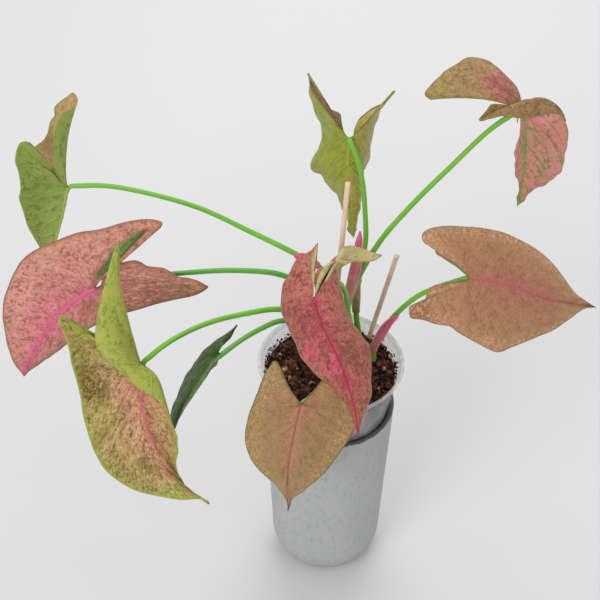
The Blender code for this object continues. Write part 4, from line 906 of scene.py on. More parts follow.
def sheath_paint(name, low, high, edge_colour):
    """A papery sheath: one colour at its foot, one at its point, pale along its free edges."""
    p = Paint(name)
    along = p.uv()[1]
    share, side = p.number("share"), p.number("side")
    streak = p.noise(p.vector(p.times(side, 6.0), p.times(along, 0.05)), 2.0, 4.0, 0.6)
    colour = p.ramp(p.add(share, p.times(p.add(streak, -0.5), 0.4)), [(0.05, low), (0.8, high)])
    colour = p.mixed(p.spread(streak, 0.5, 0.7, 0.0, 0.45), colour, edge_colour)
    colour = p.mixed(p.spread(side, 0.72, 1.0, 0.0, 0.85), colour, edge_colour)
    return p.finish(Base_Color=colour, Roughness=0.48, Normal=p.bump(streak, 0.15))


def crumb_paint(name, dark, light, lump_mm):
    """Damp coir and bark crumbs: a colour for each lump, and finer grain within it."""
    p = Paint(name)
    cells = p.node("ShaderNodeTexVoronoi", {"Vector": p.place, "Scale": 1.0 / (lump_mm * MM)}).outputs["Color"]
    pick = p.node("ShaderNodeSeparateColor", {0: cells}).outputs[0]
    fine = p.grain(0.7, 4.0, 0.65)
    colour = p.mixed(p.spread(p.add(p.times(pick, 0.7), p.times(fine, 0.5)), 0.35, 1.0), dark, light)
    return p.finish(Base_Color=colour, Roughness=p.spread(fine, 0.3, 0.7, 0.72, 0.95),
                    Normal=p.bump(fine, 0.35), Specular_IOR_Level=0.25)


def wood_paint(name, base, dark):
    """Split softwood: grain lines that run up the stake, and a few darker fibres."""
    p = Paint(name)
    around, along = p.uv()
    fibres = p.noise(p.vector(p.times(around, 14.0), p.times(along, 0.04)), 1.5, 5.0, 0.65)
    colour = p.mixed(p.spread(fibres, 0.35, 0.7), base, dark)
    colour = p.mixed(p.spread(p.grain(11.0), 0.5, 0.7, 0.0, 0.3), colour, (226, 152, 134))
    return p.finish(Base_Color=colour, Roughness=0.7, Normal=p.bump(fibres, 0.2), Specular_IOR_Level=0.3)


def stone_paint(name, base, light, dark, top_z):
    """Cast grey stone: cloudy tones drawn out upwards, fine pits, a ragged dark line on the lip that is partly soil
    and partly painted shade of the gap at the cup's seat, and a foot darkened as painted shade.
    """
    p = Paint(name)
    x, y, z = p.xyz()
    tall = p.vector(x, y, p.times(z, 0.35))
    cloud = p.noise(tall, 55.0, 4.0, 0.6, 0.3)
    fine = p.noise(tall, 420.0, 4.0, 0.7)
    colour = p.mixed(p.spread(cloud, 0.40, 0.70, 0.0, 0.3), base, light)
    colour = p.mixed(p.spread(fine, 0.52, 0.70, 0.0, 0.55), colour, light)
    colour = p.mixed(p.spread(fine, 0.30, 0.46, 0.5, 0.0), colour, dark)
    pits = p.node("ShaderNodeTexVoronoi", {"Vector": p.place, "Scale": 330.0}).outputs["Distance"]
    pit = p.times(p.spread(pits, 0.10, 0.24, 1.0, 0.0), p.spread(p.grain(16.0), 0.48, 0.62))
    colour = p.mixed(p.times(pit, 0.5), colour, dark)
    # The front and right of the lip get a ragged dark line, partly soil caught there and partly painted shade of the
    # gap where the cup sits in the lip.
    turn = p.maths("ARCTAN2", y, x)
    facing = p.times(p.spread(turn, -1.75, -1.35), p.spread(turn, 0.05, 0.25, 1.0, 0.0))
    ragged = p.add(z, p.times(p.add(p.noise(p.vector(x, y, 0.0), 190.0, 4.0, 0.6), -0.5), 0.006))
    soil_and_gap_shade = p.times(p.spread(ragged, (top_z - 2.2) * MM, (top_z - 1.3) * MM), facing)
    colour = p.mixed(p.times(soil_and_gap_shade, 0.8), colour, (62, 54, 54))
    # The bottom 16 mm is darkened towards the floor: painted shade where the rounded foot turns under.
    foot = p.spread(z, 0.0, 0.016, 0.35, 0.0)
    colour = p.mixed(foot, colour, dark)
    return p.finish(Base_Color=colour, Roughness=p.spread(fine, 0.3, 0.7, 0.66, 0.88),
                    Normal=p.bump(p.add(p.times(fine, 0.6), p.times(pit, -0.8)), 0.3), Specular_IOR_Level=0.3)


def cup_paint(name, clouded):
    """Thin clear plastic with a milky haze drawn out in streaks, a less clear band at the rim, and a shiny skin."""
    p = Paint(name)
    x, y, z = p.xyz()
    streak = p.noise(p.vector(x, y, p.times(z, 0.12)), 170.0, 4.0, 0.62, 0.2)
    cloud = p.grain(20.0, 3.0)
    haze = p.spread(p.add(p.times(streak, 0.6), p.times(cloud, 0.5)), 0.35, 0.8, clouded * 0.55, clouded)
    rim = p.spread(z, 0.1775, 0.1795, 0.0, 0.25)
    colour = p.mixed(p.spread(streak, 0.4, 0.65), (205, 208, 212), (238, 240, 243))
    return p.finish(Base_Color=colour, Roughness=p.spread(streak, 0.3, 0.7, 0.10, 0.24),
                    Alpha=p.maths("ADD", haze, rim, clamp=True), Specular_IOR_Level=0.6,
                    Normal=p.bump(streak, 0.1))


def plain_paint(name, colour, roughness):
    """A floor or backdrop of one colour, broken up a little by soft clouds."""
    p = Paint(name)
    cloud = p.noise(p.place, 0.6, 2.0)
    return p.finish(Base_Color=p.mixed(p.spread(cloud, 0.4, 0.6, 0.0, 0.3), colour, tuple(c - 3 for c in colour)),
                    Roughness=roughness, Specular_IOR_Level=0.2)


# Blades


def leaf_axes(leaf):
    """The leaf's own axes as rows: across, along and out of the upper face."""
    along = unit(np.subtract(leaf["tip"], leaf["junction"]).astype(float))
    out = np.array(leaf["faces"], float)
    out = unit(out - out.dot(along) * along)
    return np.stack([np.cross(along, out), along, out])


def half_blade(leaf, half, rows, columns):
    """One half of a blade as a grid: rows run from the tip (0) past the widest place (1) to the notch (2).

    Point = root (1 - t) + margin t + belly 4 t (1 - t), for t across the row. The root runs down the
    midrib, and past the widest place it slides from the junction to the sinus, where the notch opens.
    Returns the grid, each row's place, the margin, the root and the midrib.
    """
    tip = (0.0, np.linalg.norm(np.subtract(leaf["tip"], leaf["junction"])), 0.0)
    outline = np.array([tip, *half["margin"], *half["lobe"]], float)
    widest = len(half["margin"])
    knots = np.concatenate([[0.0], np.cumsum(np.sqrt(np.linalg.norm(np.diff(outline, axis=0), axis=1)))])
    middle, end = knots[widest], knots[-1]
    knots = np.where(knots <= middle, knots / middle, 1.0 + (knots - middle) / (end - middle))
    place = np.linspace(0.0, 2.0, rows)
    edge = smooth_curve(outline, place, knots)
    spine = smooth_curve([tip, *leaf["midrib"], (0.0, 0.0, 0.0)], place)
    root = spine + step_up(1.0, 2.0, place)[:, None] * np.array(half.get("sinus", (0.0, 0.0, 0.0)))
    belly = np.array(half["belly"], float)
    shift = eased(place, belly[:, 0], belly[:, 1:])
    t = np.linspace(0.0, 1.0, columns)[None, :, None]
    grid = root[:, None] * (1 - t) + edge[:, None] * t + shift[:, None] * 4 * t * (1 - t)
    return grid, place, edge, root, spine[place <= 1.0]


def nearest(points, line):
    """Distance from each point to the nearest point of a densely drawn line."""
    gaps = points[:, None] - line[None]
    return np.sqrt((gaps**2).sum(axis=2).min(axis=1))


def point_normals(points, triangles):
    """Unit normal at each point: the sum of its triangles' cross products."""
    corner = points[triangles]
    flat = np.cross(corner[:, 1] - corner[:, 0], corner[:, 2] - corner[:, 0])
    normals = np.zeros_like(points)
    for k in range(3):
        np.add.at(normals, triangles[:, k], flat)
    return unit(normals)


def blade_grid(leaf, look, rows, columns):
    """Both halves of a blade as one welded sheet, with what its relief and its paint read.

    Side veins stand where the phase is whole: phase = count (place + sweep t^1.5), counted apart
    before and past the widest place, so a vein leaves the midrib and bends towards the tip.
    """
    grids, uv, places, triangles, gaps, edges = [], [], [], [], [], []
    index = np.arange(rows * columns).reshape(rows, columns)
    a, b, c, d = (part.ravel() for part in (index[:-1, :-1], index[1:, :-1], index[1:, 1:], index[:-1, 1:]))
    split = np.concatenate([np.stack([a, b, c], axis=1), np.stack([a, c, d], axis=1)])
    before, past = look["lines"]
    t = np.repeat(np.linspace(0.0, 1.0, columns)[None], rows, axis=0)
    for number, half in enumerate(leaf["halves"]):
        grid, place, edge, root, spine = half_blade(leaf, half, rows, columns)
        swept = place[:, None] + 0.11 * t**1.5 * np.minimum(1.0, 2.0 * place[:, None])
        phase = np.where(swept <= 1.0, before * swept, before + past * (swept - 1.0)) + 40 * number + 0.5
        step = np.linalg.norm(np.gradient(grid, axis=0), axis=2)
        gaps.append((step / np.maximum(np.gradient(phase, axis=0), 1e-6)).ravel())
        grids.append(grid.reshape(-1, 3))
        uv.append(np.stack([phase, t], axis=-1).reshape(-1, 2))
        places.append(np.repeat(place, columns))
        triangles.append((split[:, ::-1] if number == 0 else split) + number * rows * columns)
        opened = root[place > 1.0] if "sinus" in half else edge[:1]
        edges.append(np.vstack([edge, grid[-1], opened]))
    points, triangles, uv = np.vstack(grids), np.vstack(triangles), np.vstack(uv)
    rounded = np.round(points, 4)
    _, first, welded = np.unique(rounded, axis=0, return_index=True, return_inverse=True)
    welded = welded.reshape(-1)
    a, b, c = welded[triangles].T
    keep = (a != b) & (b != c) & (a != c)
    triangles = triangles[keep]
    points = points[first]
    side = (np.arange(2 * rows * columns) >= rows * columns)[first]
    rib = nearest(points, spine)
    edge = np.where(side, nearest(points, edges[1]), nearest(points, edges[0]))
    return {
        "points": points, "triangles": welded[triangles], "uv": uv[triangles], "phase": uv[first, 0],
        "t": uv[first, 1], "place": np.concatenate(places)[first], "rib": rib, "edge": edge,
        "gap": np.concatenate(gaps)[first], "length": np.linalg.norm(spine[0]), "side": side,
    }


def blade_relief(sheet, look, seed):
    """How far the sheet moves out of its plane in mm, and how much room the side veins have, from 0 to 1.

    Blade = quilt (1 - cos 2 pi phase) / 2 between the side veins, plus a ripple that grows with the
    fourth power of t towards the margin, plus slow waves. All of it fades out at the junction.
    """
    height, ripples, _ = look["wave"]
    away = np.linalg.norm(sheet["points"], axis=1)
    fade = step_up(3.0, 16.0, away)
    t = sheet["t"]
    room = step_up(1.0, 5.0, sheet["gap"]) * fade
    quilt = look["quilt"] * (0.5 - 0.5 * np.cos(2 * math.pi * sheet["phase"]) - 0.5)
    quilt *= room * np.sin(math.pi * np.clip(t, 0.0, 0.92) / 0.92) ** 0.7
    turn = 2 * math.pi * ripples * sheet["place"] / 2.0
    ripple = height * t**4 * (0.7 * np.sin(turn + seed) + 0.3 * np.sin(2.3 * turn + 2.0 * seed)) * fade
    slow = 0.22 * waves(sheet["points"], 9.0, seed) * fade * t * (1 - t) * 4
    return quilt + ripple + slow, room


def make_blade(name, leaf, look, settings, seed):
    """A blade with an upper and an under face, a rim, a sunken midrib above and ribs below.

    Face = middle sheet + normal (relief +- half thickness), the under face also drops by the ribs'
    height, which falls off as exp(-(distance / width)^2).
    """
    rows, columns = 150, 34
    sheet = blade_grid(leaf, look, rows, columns)
    points, triangles = sheet["points"], sheet["triangles"]
    normals = point_normals(points, triangles)
    lift, room = blade_relief(sheet, look, seed)
    ragged = look["wave"][2]
    if ragged:
        outward = unit(points - points.mean(axis=0))
        bite = np.abs(waves(points, 3.2, seed + 50)) * ragged * sheet["t"] ** 6
        points = points - outward * bite[:, None]
    reach = np.clip(np.linalg.norm(points, axis=1) / sheet["length"], 0.0, 1.3)
    taper = 1.0 - 0.75 * np.clip(reach, 0.0, 1.0)
    crease = np.exp(-((sheet["rib"] / 1.1) ** 2)) * taper
    ridge = np.exp(-((sheet["rib"] / 1.2) ** 2)) * taper
    off_vein = np.abs((sheet["phase"] + 0.5) % 1.0 - 0.5) * sheet["gap"]
    small = np.exp(-((off_vein / 0.75) ** 2)) * room * (1 - step_up(0.7, 0.95, sheet["t"]))
    half = settings.blade_thickness / MM / 2 * (1.0 - 0.45 * step_up(0.85, 1.0, sheet["t"]))
    upper = points + normals * (lift + half - 0.30 * crease - 0.06 * small)[:, None]
    lower = points + normals * (lift - half - 0.75 * ridge - 0.22 * small)[:, None]
    count = len(points)
    edges = np.concatenate([triangles[:, [0, 1]], triangles[:, [1, 2]], triangles[:, [2, 0]]])
    corner = np.concatenate([sheet["uv"][:, [0, 1]], sheet["uv"][:, [1, 2]], sheet["uv"][:, [2, 0]]])
    key, back = edges[:, 0] * count + edges[:, 1], edges[:, 1] * count + edges[:, 0]
    open_edge = ~np.isin(key, back)
    start, end = edges[open_edge].T
    rim = np.stack([end, start, start + count, end + count], axis=1)
    rim_uv = corner[open_edge][:, [1, 0, 0, 1]]
    axes = leaf_axes(leaf)
    both = np.vstack([upper, lower]) @ axes + np.array(leaf["junction"], float)
    faces = [np.vstack([triangles, triangles[:, ::-1] + count]), rim]
    uv = np.vstack([sheet["uv"].reshape(-1, 2), sheet["uv"][:, ::-1].reshape(-1, 2), rim_uv.reshape(-1, 2)])
    share = sheet["rib"] / (sheet["rib"] + sheet["edge"] + 1e-6)
    numbers = {"across": share, "reach": reach, "place": sheet["place"], "rib_mm": sheet["rib"],
               "edge_mm": sheet["edge"],
               "gap_mm": np.clip(sheet["gap"], 0.0, 40.0)}
    paints = [upper_paint(f"leaf_{name}", look), under_paint(f"leaf_{name}", look)]
    slots = np.concatenate([np.zeros(len(triangles)), np.ones(len(triangles)), np.zeros(len(rim))])
    blade = put_mesh(f"blade_{name}_fine", both, faces, paints, uv,
                     {key: np.tile(value, 2) for key, value in numbers.items()}, slots)
    hand_over(blade, [f"blade_{name}"])
    junction_row = int(np.argmin(np.linalg.norm(points, axis=1)))
    return normals[junction_row] @ axes, axes[1]


def petiole_line(leaf, normal, shares):
    """Centre points of a petiole: out of its stem's side, over its route and up to the junction."""
    stem_x, stem_y = STEMS[leaf["stem"]]
    turn = math.radians(leaf["turn"])
    reach = STEM_RADIUS + PETIOLE_FOOT_RADIUS + 0.35
    foot = (stem_x + reach * math.cos(turn), stem_y + reach * math.sin(turn), 174.0)
    junction = np.array(leaf["junction"], float)
    arrival = unit(junction - leaf["route"][-1])
    tilt = math.sqrt(max(0.0, 1.0 - arrival.dot(normal) ** 2))
    drop = 0.4 + 0.7 + PETIOLE_TIP_RADIUS * tilt
    return smooth_curve([foot, *leaf["route"], junction - normal * drop], shares)


def make_petiole(name, leaf, normal, along, paint):
    """A petiole that swells at its foot, thins, thickens a little below the blade and runs into its midrib.

    Radius = foot + (tip - foot) s^0.7 for the share s of its length, with a flat channel on one side.
    """
    rings, sides = 120, 18
    line = petiole_line(leaf, normal, np.linspace(0.0, 1.0, rings))
    foot = line[0]
    stem = np.array([*STEMS[leaf["stem"]], 166.0])
    root = stem + (foot - stem) * (0.45, 0.45, 0.0)
    junction = np.array(leaf["junction"], float)
    tail = [junction - normal * 1.0 + along * 4.0, junction - normal * 0.85 + along * 9.0]
    line = smooth_curve([root, *line[::6], line[-1], *tail], np.linspace(0.0, 1.0, rings))
    s = np.linspace(0.0, 1.0, rings)
    radii = PETIOLE_FOOT_RADIUS + (PETIOLE_TIP_RADIUS - PETIOLE_FOOT_RADIUS) * s**0.7
    radii = radii * (1.0 + 0.22 * np.exp(-((s / 0.07) ** 2)) + 0.10 * np.exp(-(((s - 0.9) / 0.05) ** 2)))
    radii = radii * (1.0 - 0.75 * step_up(0.93, 1.0, s))
    a = 2 * math.pi * np.arange(sides) / sides
    channel = 1.0 - 0.16 * np.exp(-(((a - math.pi) / 0.45) ** 2))
    points, faces, uv = swept_skin(line, radii[:, None] * channel[None], sides)
    share = np.concatenate([np.repeat(s, sides), [0.0, 1.0]])
    petiole = put_mesh(f"petiole_{name}_fine", points, faces, [paint], uv, {"share": share})
    hand_over(petiole, [f"petiole_{name}"])


def make_sheath(name, leaf, normal, sheath, paint):
    """A papery sheath wrapped round one side of its petiole, open at the back and pointed above.

    Point = petiole centre + (radius + stand-off) (cos a * out + sin a * beside), for a from -wrap to
    wrap. Wrap narrows with the square of the height, and the free edges stand off the stalk.
    """
    _, start, end, side, swell = sheath
    rows, columns = 70, 25
    own = np.linspace(0.0, 1.0, rows)
    line = petiole_line(leaf, normal, start + (end - start) * own)
    along = unit(np.gradient(line, axis=0))
    out = np.array(side, float)
    out = unit(out - (along @ out)[:, None] * along)
    beside = np.cross(along, out)
    inner = PETIOLE_FOOT_RADIUS + (PETIOLE_TIP_RADIUS - PETIOLE_FOOT_RADIUS) * (start + (end - start) * own) ** 0.7
    wrap = math.radians(150.0) * (1.0 - own**2.4) ** 0.8 + 0.06
    turn = np.linspace(-1.0, 1.0, columns)
    a = wrap[:, None] * turn[None]
    stand = 0.35 + 1.15 * swell * np.sin(math.pi * np.clip(own, 0, 1) ** 0.7)[:, None] * (0.55 + 0.45 * np.cos(a))
    stand = stand + 0.5 * np.abs(turn[None]) ** 5 + 0.12 * np.sin(5 * a + 9 * own[:, None])
    radius = inner[:, None] + stand
    spoke = np.cos(a)[..., None] * out[:, None] + np.sin(a)[..., None] * beside[:, None]
    outer = (line[:, None] + radius[..., None] * spoke).reshape(-1, 3)
    inner_skin = (line[:, None] + (radius - 0.35)[..., None] * spoke).reshape(-1, 3)
    index = np.arange(rows * columns).reshape(rows, columns)
    a0, b0, c0, d0 = (part.ravel() for part in (index[:-1, :-1], index[:-1, 1:], index[1:, 1:], index[1:, :-1]))
    skin = np.stack([a0, b0, c0, d0], axis=1)
    loop = np.concatenate([index[0, :], index[1:, -1], index[-1, -2::-1], index[-2:0:-1, 0]])
    after = np.roll(loop, -1)
    count = rows * columns
    rim = np.stack([after, loop, loop + count, after + count], axis=1)
    share = np.repeat(own, columns)
    faces = np.vstack([skin, skin[:, ::-1] + count, rim])
    uv = np.stack([np.tile(turn, rows), share * 60.0], axis=1)
    uv = np.vstack([uv, uv])[faces].reshape(-1, 2)
    edge = np.tile(np.abs(turn), rows)
    piece = put_mesh(f"sheath_{name}_fine", np.vstack([outer, inner_skin]), [faces], [paint], uv,
                     {"share": np.tile(share, 2), "side": np.tile(edge, 2)})
    hand_over(piece, [f"sheath_{name}"])


# Stems, stakes and the new leaf


def make_stem(name, place):
    """A short upright stem: radius = body + rings of old leaf scars, closed by a blunt dome."""
    rings, sides = 60, 28
    s = np.linspace(0.0, 1.0, rings)
    z = 160.0 + (STEM_TOP_Z + 2.2 - 160.0) * s
    dome = np.sqrt(np.clip(1.0 - (np.clip(z - STEM_TOP_Z + 1.5, 0.0, 3.7) / 3.72) ** 2, 0.0, 1.0))
    scars = 0.30 * np.exp(-((((z - 173.0) % 4.6) - 2.3) / 0.45) ** 2)
    line = np.stack([np.full(rings, place[0]), np.full(rings, place[1]), z], axis=1)
    a = 2 * math.pi * np.arange(sides) / sides
    lobes = 1.0 + 0.04 * np.cos(3 * a[None] + 2.0 * s[:, None])
    radii = ((STEM_RADIUS - 0.3) * dome + scars * dome)[:, None] * lobes
    spoke = np.stack([np.cos(a), np.sin(a), np.zeros(sides)], axis=1)
    rings_xyz = line[:, None] + radii[:, :, None] * spoke[None]
    points, faces, uv = closed_skin(rings_xyz, line[0], line[-1])
    share = np.concatenate([np.repeat(s, sides), [0.0, 1.0]])
    paint = stalk_paint(f"stem_{name}_skin", (120, 84, 52), (104, 136, 58), (150, 120, 74))
    hand_over(put_mesh(f"stem_{name}_fine", points, faces, [paint], uv, {"share": share}),
              [f"stem_{name}"])


def make_stake(name, foot, top, paint):
    """A split stake: radius = half the diameter with flats and splinters, and a flat cap at each end."""
    rings, sides = 90, 20
    s = np.linspace(0.0, 1.0, rings)
    line = np.array(foot) + (np.array(top) - foot) * s[:, None]
    a = 2 * math.pi * np.arange(sides) / sides
    grid = np.stack([np.repeat(np.cos(a)[None], rings, axis=0), np.repeat(np.sin(a)[None], rings, axis=0),
                     np.repeat(6.0 * s[:, None], sides, axis=1)], axis=-1)
    rough = 1.0 + 0.05 * waves(grid, 0.8, len(name)) + 0.025 * np.cos(2 * a)[None]
    radii = STAKE_DIAMETER / 2 * rough
    points, faces, uv = swept_skin(line, radii, sides)
    hand_over(put_mesh(f"stake_{name}_fine", points, faces, [paint], uv), [f"stake_{name}"])


def make_spear():
    """The furled new leaf: radius = spindle (1 + 0.16 (a / 2 pi)), whose step turns round as it climbs."""
    rings, sides = 160, 36
    s = np.linspace(0.0, 1.0, rings)
    places = np.array([place for place, _ in SPEAR])
    line = smooth_curve(places, s)
    body = np.interp(line[:, 2], places[:, 2], [radius for _, radius in SPEAR])
    a = np.arange(sides) / sides
    fold = (a[None] - 1.3 * s[:, None]) % 1.0
    radii = body[:, None] * (0.90 + 0.16 * fold - 0.10 * np.exp(-((fold - 0.03) / 0.04) ** 2))
    points, faces, uv = swept_skin(line, radii, sides)
    share = np.concatenate([np.repeat(s, sides), [0.0, 1.0]])
    edge = np.concatenate([np.clip(1.0 - 7.0 * fold, 0.0, 1.0).ravel(), [0.0, 0.0]])
    paint = sheath_paint("spear_skin", (150, 160, 84), (222, 92, 132), (240, 190, 190))
    hand_over(put_mesh("spear_fine", points, faces, [paint], uv, {"share": share, "side": edge}),
              ["spear"])


# The mix, the cup and the vase


# Pale husk pieces that show on the mix: x, y and half length in mm
HUSKS = [(-33, 11, 2.4), (-30, -1, 2.9), (-26, -9, 3.1), (-12, -14, 2.5), (-40, 18, 1.8), (-20, -16, 1.9),
         (35, 0, 2.4), (39, 13, 1.7), (-36, 5, 1.6), (-22, 1, 1.5), (-8, 16, 1.8), (34, 24, 1.6)]


def cup_outer_radius(z):
    """Outer radius of the cup's wall at a height."""
    return CUP_MOUTH_RADIUS - CUP_TAPER * (181.0 - z)


def mix_height(x, y):
    """Height of the mix above its mean level: two long crossed waves, with lumps on them."""
    coarse = np.sin(0.52 * x + 1.3) * np.cos(0.47 * y - 0.4) + np.sin(0.31 * x - 0.63 * y)
    lumps = waves(np.stack([x, y, 0.0 * x], axis=-1), 3.4, 4)
    return 0.5 * coarse + 1.5 * lumps


def make_mix_body(paint):
    """The root ball: a tapered plug turned about Z, lumpy on top and rough down its side."""
    radius = cup_outer_radius(MIX_TOP_Z) - CUP_WALL - 0.6
    low = CUP_BOX[0].z / MM + 1.3
    side = [(cup_outer_radius(z) - CUP_WALL - 0.5, z) for z in np.linspace(low + 2.0, MIX_TOP_Z - 1.5, 90)]
    top = [(r, MIX_TOP_Z) for r in np.linspace(radius - 0.4, 0.6, 84)]
    profile = [(0.0, low), (side[0][0] - 2.0, low), *side, *top, (0.0, MIX_TOP_Z)]

    def relief(x, y, z):
        r = np.hypot(x, y)
        on_top = z > MIX_TOP_Z - 0.1
        up = np.where(on_top, mix_height(x, y) * step_up(radius, radius - 3.0, r), 0.0)
        rough = waves(np.stack([x, y, z], axis=-1), 2.2, 8)
        return np.where(on_top | (z < low + 1.0), 0.0, -0.25 + 0.25 * rough), up

    points, faces, uv = turned_skin(profile, 220, relief)
    hand_over(put_mesh("potting_mix_fine", points, faces, [paint], uv), ["potting_mix"])
    return radius


def make_crumbs(settings, radius, paints):
    """Crumbs, bark chips and coir fibres strewn over the mix, and crumbs stuck to the cup's wall."""
    rng = np.random.default_rng(settings.seed)

    def strewn(count, reach):
        r = reach * np.sqrt(rng.uniform(0, 1, count))
        a = rng.uniform(0, 2 * math.pi, count)
        return r * np.cos(a), r * np.sin(a)

    kinds = (
        ("crumbs_small", settings.crumb_count, 0.55, 1.15, 0, 0.30, 0.35),
        ("crumbs_large", settings.crumb_count // 4, 1.1, 2.7, 1, 0.30, 0.40),
    )
    for name, count, small, large, rounds, rough, lift in kinds:
        x, y = strewn(count, radius - large)
        size = rng.uniform(small, large, (count, 1)) * rng.uniform(0.6, 1.25, (count, 3))
        z = MIX_TOP_Z + mix_height(x, y) + lift * size.mean(axis=1)
        points, triangles = scattered(*ball(rounds), np.stack([x, y, z], axis=1), size, rough, rng)
        hand_over(put_mesh(name, points, [triangles], [paints["crumb"]]), [])

    count = settings.chip_count
    x, y = strewn(count, radius - 3.0)
    size = rng.uniform(0.8, 1.9, (count, 1)) * np.array([1.25, 0.85, 0.5]) * rng.uniform(0.75, 1.2, (count, 3))
    z = MIX_TOP_Z + mix_height(x, y) + 1.1
    points, triangles = scattered(*ball(1), np.stack([x, y, z], axis=1), size, 0.16, rng)
    hand_over(put_mesh("bark_chips", points, [triangles], [paints["chip"]]), [])

    husks = np.array(HUSKS)
    spots, size = husks[:, :2], husks[:, 2:] * (1.0, 0.72, 0.4)
    z = MIX_TOP_Z + mix_height(*spots.T) + 1.2
    points, triangles = scattered(*ball(2), np.column_stack([spots, z]), size, 0.06, rng)
    hand_over(put_mesh("husk_pieces", points, [triangles], [paints["husk"]]), [])

    count = settings.fibre_count
    x, y = strewn(count, radius - 5.0)
    steps, sides = 7, 4
    s = np.linspace(-1.0, 1.0, steps)
    heading = rng.uniform(0, 2 * math.pi, count)
    span, bend = rng.uniform(2.0, 5.0, count), rng.normal(0, 0.9, count)
    along = np.stack([np.cos(heading), np.sin(heading)], axis=1)
    across = np.stack([-np.sin(heading), np.cos(heading)], axis=1)
    flat = (np.stack([x, y], axis=1)[:, None] + along[:, None] * (span[:, None] * s)[..., None]
            + across[:, None] * (bend[:, None] * s**2)[..., None])
    away = np.linalg.norm(flat, axis=2, keepdims=True)
    flat = flat * np.minimum(1.0, (radius - 1.0) / away)
    z = MIX_TOP_Z + 0.9 + mix_height(flat[..., 0], flat[..., 1]) + rng.uniform(0.0, 1.2, (count, 1)) * (1 - s**2)
    thick = rng.uniform(0.10, 0.26, (count, 1)) * np.sqrt(np.clip(1.05 - s**2, 0.05, 1.0))
    turn = 2 * math.pi * np.arange(sides) / sides
    ring = (np.cos(turn)[:, None] * np.concatenate([across, np.zeros((count, 1))], axis=1)[:, None, None]
            + np.sin(turn)[:, None] * np.array([0.0, 0.0, 1.0]))
    points = np.concatenate([flat, z[..., None]], axis=2)[:, :, None] + thick[..., None, None] * ring
    quads, _, _ = ring_faces(steps, sides)
    shift = (np.arange(count) * steps * sides)[:, None, None]
    caps = np.array([[3, 2, 1, 0], np.arange(4) + (steps - 1) * sides])
    faces = (np.vstack([quads, caps])[None] + shift).reshape(-1, 4)
    hand_over(put_mesh("coir_fibres", points.reshape(-1, 3), [faces], [paints["fibre"]]), [])

    count = settings.wall_crumb_count
    a = rng.uniform(0, 2 * math.pi, count)
    z = MIX_TOP_Z - 0.5 + rng.exponential(1.3, count).clip(0.0, 6.5)
    size = rng.uniform(0.3, 1.0, (count, 1)) * rng.uniform(0.6, 1.2, (count, 3))
    r = cup_outer_radius(z) - CUP_WALL - size.mean(axis=1) * 0.6
    places = np.stack([r * np.cos(a), r * np.sin(a), z], axis=1)
    points, triangles = scattered(*ball(0), places, size, 0.3, rng)
    hand_over(put_mesh("crumbs_on_wall", points, [triangles], [paints["crumb"]]), [])


def make_cup(settings):
    """The clear cup: a thin tapered wall turned about Z, with a rolled rim and a stepped band below it."""
    top = CUP_BOX[1].z / MM
    floor_z = CUP_BOX[0].z / MM
    rim = CUP_BOX[1].x / MM
    foot = cup_outer_radius(floor_z + 1.5)
    roll = [(rim - 1.15 + 1.15 * math.cos(a), top - 1.2 + 1.2 * math.sin(a)) for a in np.linspace(-1.45, 1.5, 12)]
    outside = [(cup_outer_radius(z), z) for z in np.linspace(floor_z + 1.5, top - 2.7, 50)]
    inside = [(cup_outer_radius(z) - CUP_WALL, z) for z in np.linspace(top - 3.2, floor_z + 2.0, 50)]
    lip = [(CUP_MOUTH_RADIUS + 0.2, top - 0.35), (CUP_MOUTH_RADIUS - 0.35, top - 1.2)]
    profile = [
        (0.0, floor_z), (foot - 1.5, floor_z), *outside, *roll, *lip, *inside,
        (foot - CUP_WALL - 1.2, floor_z + CUP_WALL), (0.0, floor_z + CUP_WALL),
    ]

    def relief(x, y, z):
        a = np.arctan2(y, x)
        return 0.10 * np.sin(3 * a + 0.6) * step_up(150.0, 181.0, z), np.zeros_like(z)

    points, faces, uv = turned_skin(profile, 180, relief)
    cup = put_mesh("clear_cup_fine", points, faces, [cup_paint("clear_plastic_skin", settings.cup_haze)], uv)
    hand_over(cup, ["clear_cup"])


def make_vase(settings):
    """The vase: a tapered outline with a round foot and a bevelled lip, turned about Z.

    Foot radius = flat + (side - flat) sin a, at height curve (1 - cos a). The wall wavers by 0.15 mm.
    """
    top, flat_radius, foot_radius, curve, wall = VASE_BOX[1].z / MM, 22.0, 38.0, 25.0, 3.6
    top_radius = VASE_BOX[1].x / MM
    foot = [(flat_radius + (foot_radius - flat_radius) * math.sin(a), curve * (1 - math.cos(a)))
            for a in np.linspace(0.03, math.pi / 2, 24)]
    climb = np.linspace(0.0, 1.0, 60)[1:-1]
    side = [(foot_radius + (top_radius - foot_radius) * h, curve + (top - 1.4 - curve) * h) for h in climb]
    seat = cup_outer_radius(top - 3.5) + 0.35
    lip = [(top_radius, top - 1.3), (top_radius - 0.15, top - 0.7), (top_radius - 0.5, top - 0.22),
           (top_radius - 1.1, top), (seat + 1.0, top - 0.25), (seat + 0.45, top - 1.0), (seat, top - 3.5)]
    well = [(top_radius - wall, top - 9.0), (foot_radius - wall - 1.0, curve), (foot_radius - wall - 10.0, 9.0),
            (foot_radius - wall - 17.0, 7.0)]
    profile = [(0.0, 0.0), (flat_radius, 0.0), *foot, *side, *lip, *well, (0.0, 7.0)]

    def relief(x, y, z):
        swing = waves(np.stack([x, y, z], axis=-1), 11.0, 3)
        return 0.16 * swing * step_up(1.0, 8.0, z) * step_up(top - 0.2, top - 5.0, z), np.zeros_like(z)

    points, faces, uv = turned_skin(profile, 240, relief)
    tones = [tuple(round(255 * c) for c in tone) for tone in (settings.stone, settings.stone_light, settings.stone_dark)]
    vase = put_mesh("vase_fine", points, faces, [stone_paint("vase_skin", *tones, top)], uv)
    hand_over(vase, ["vase"])


# Settings


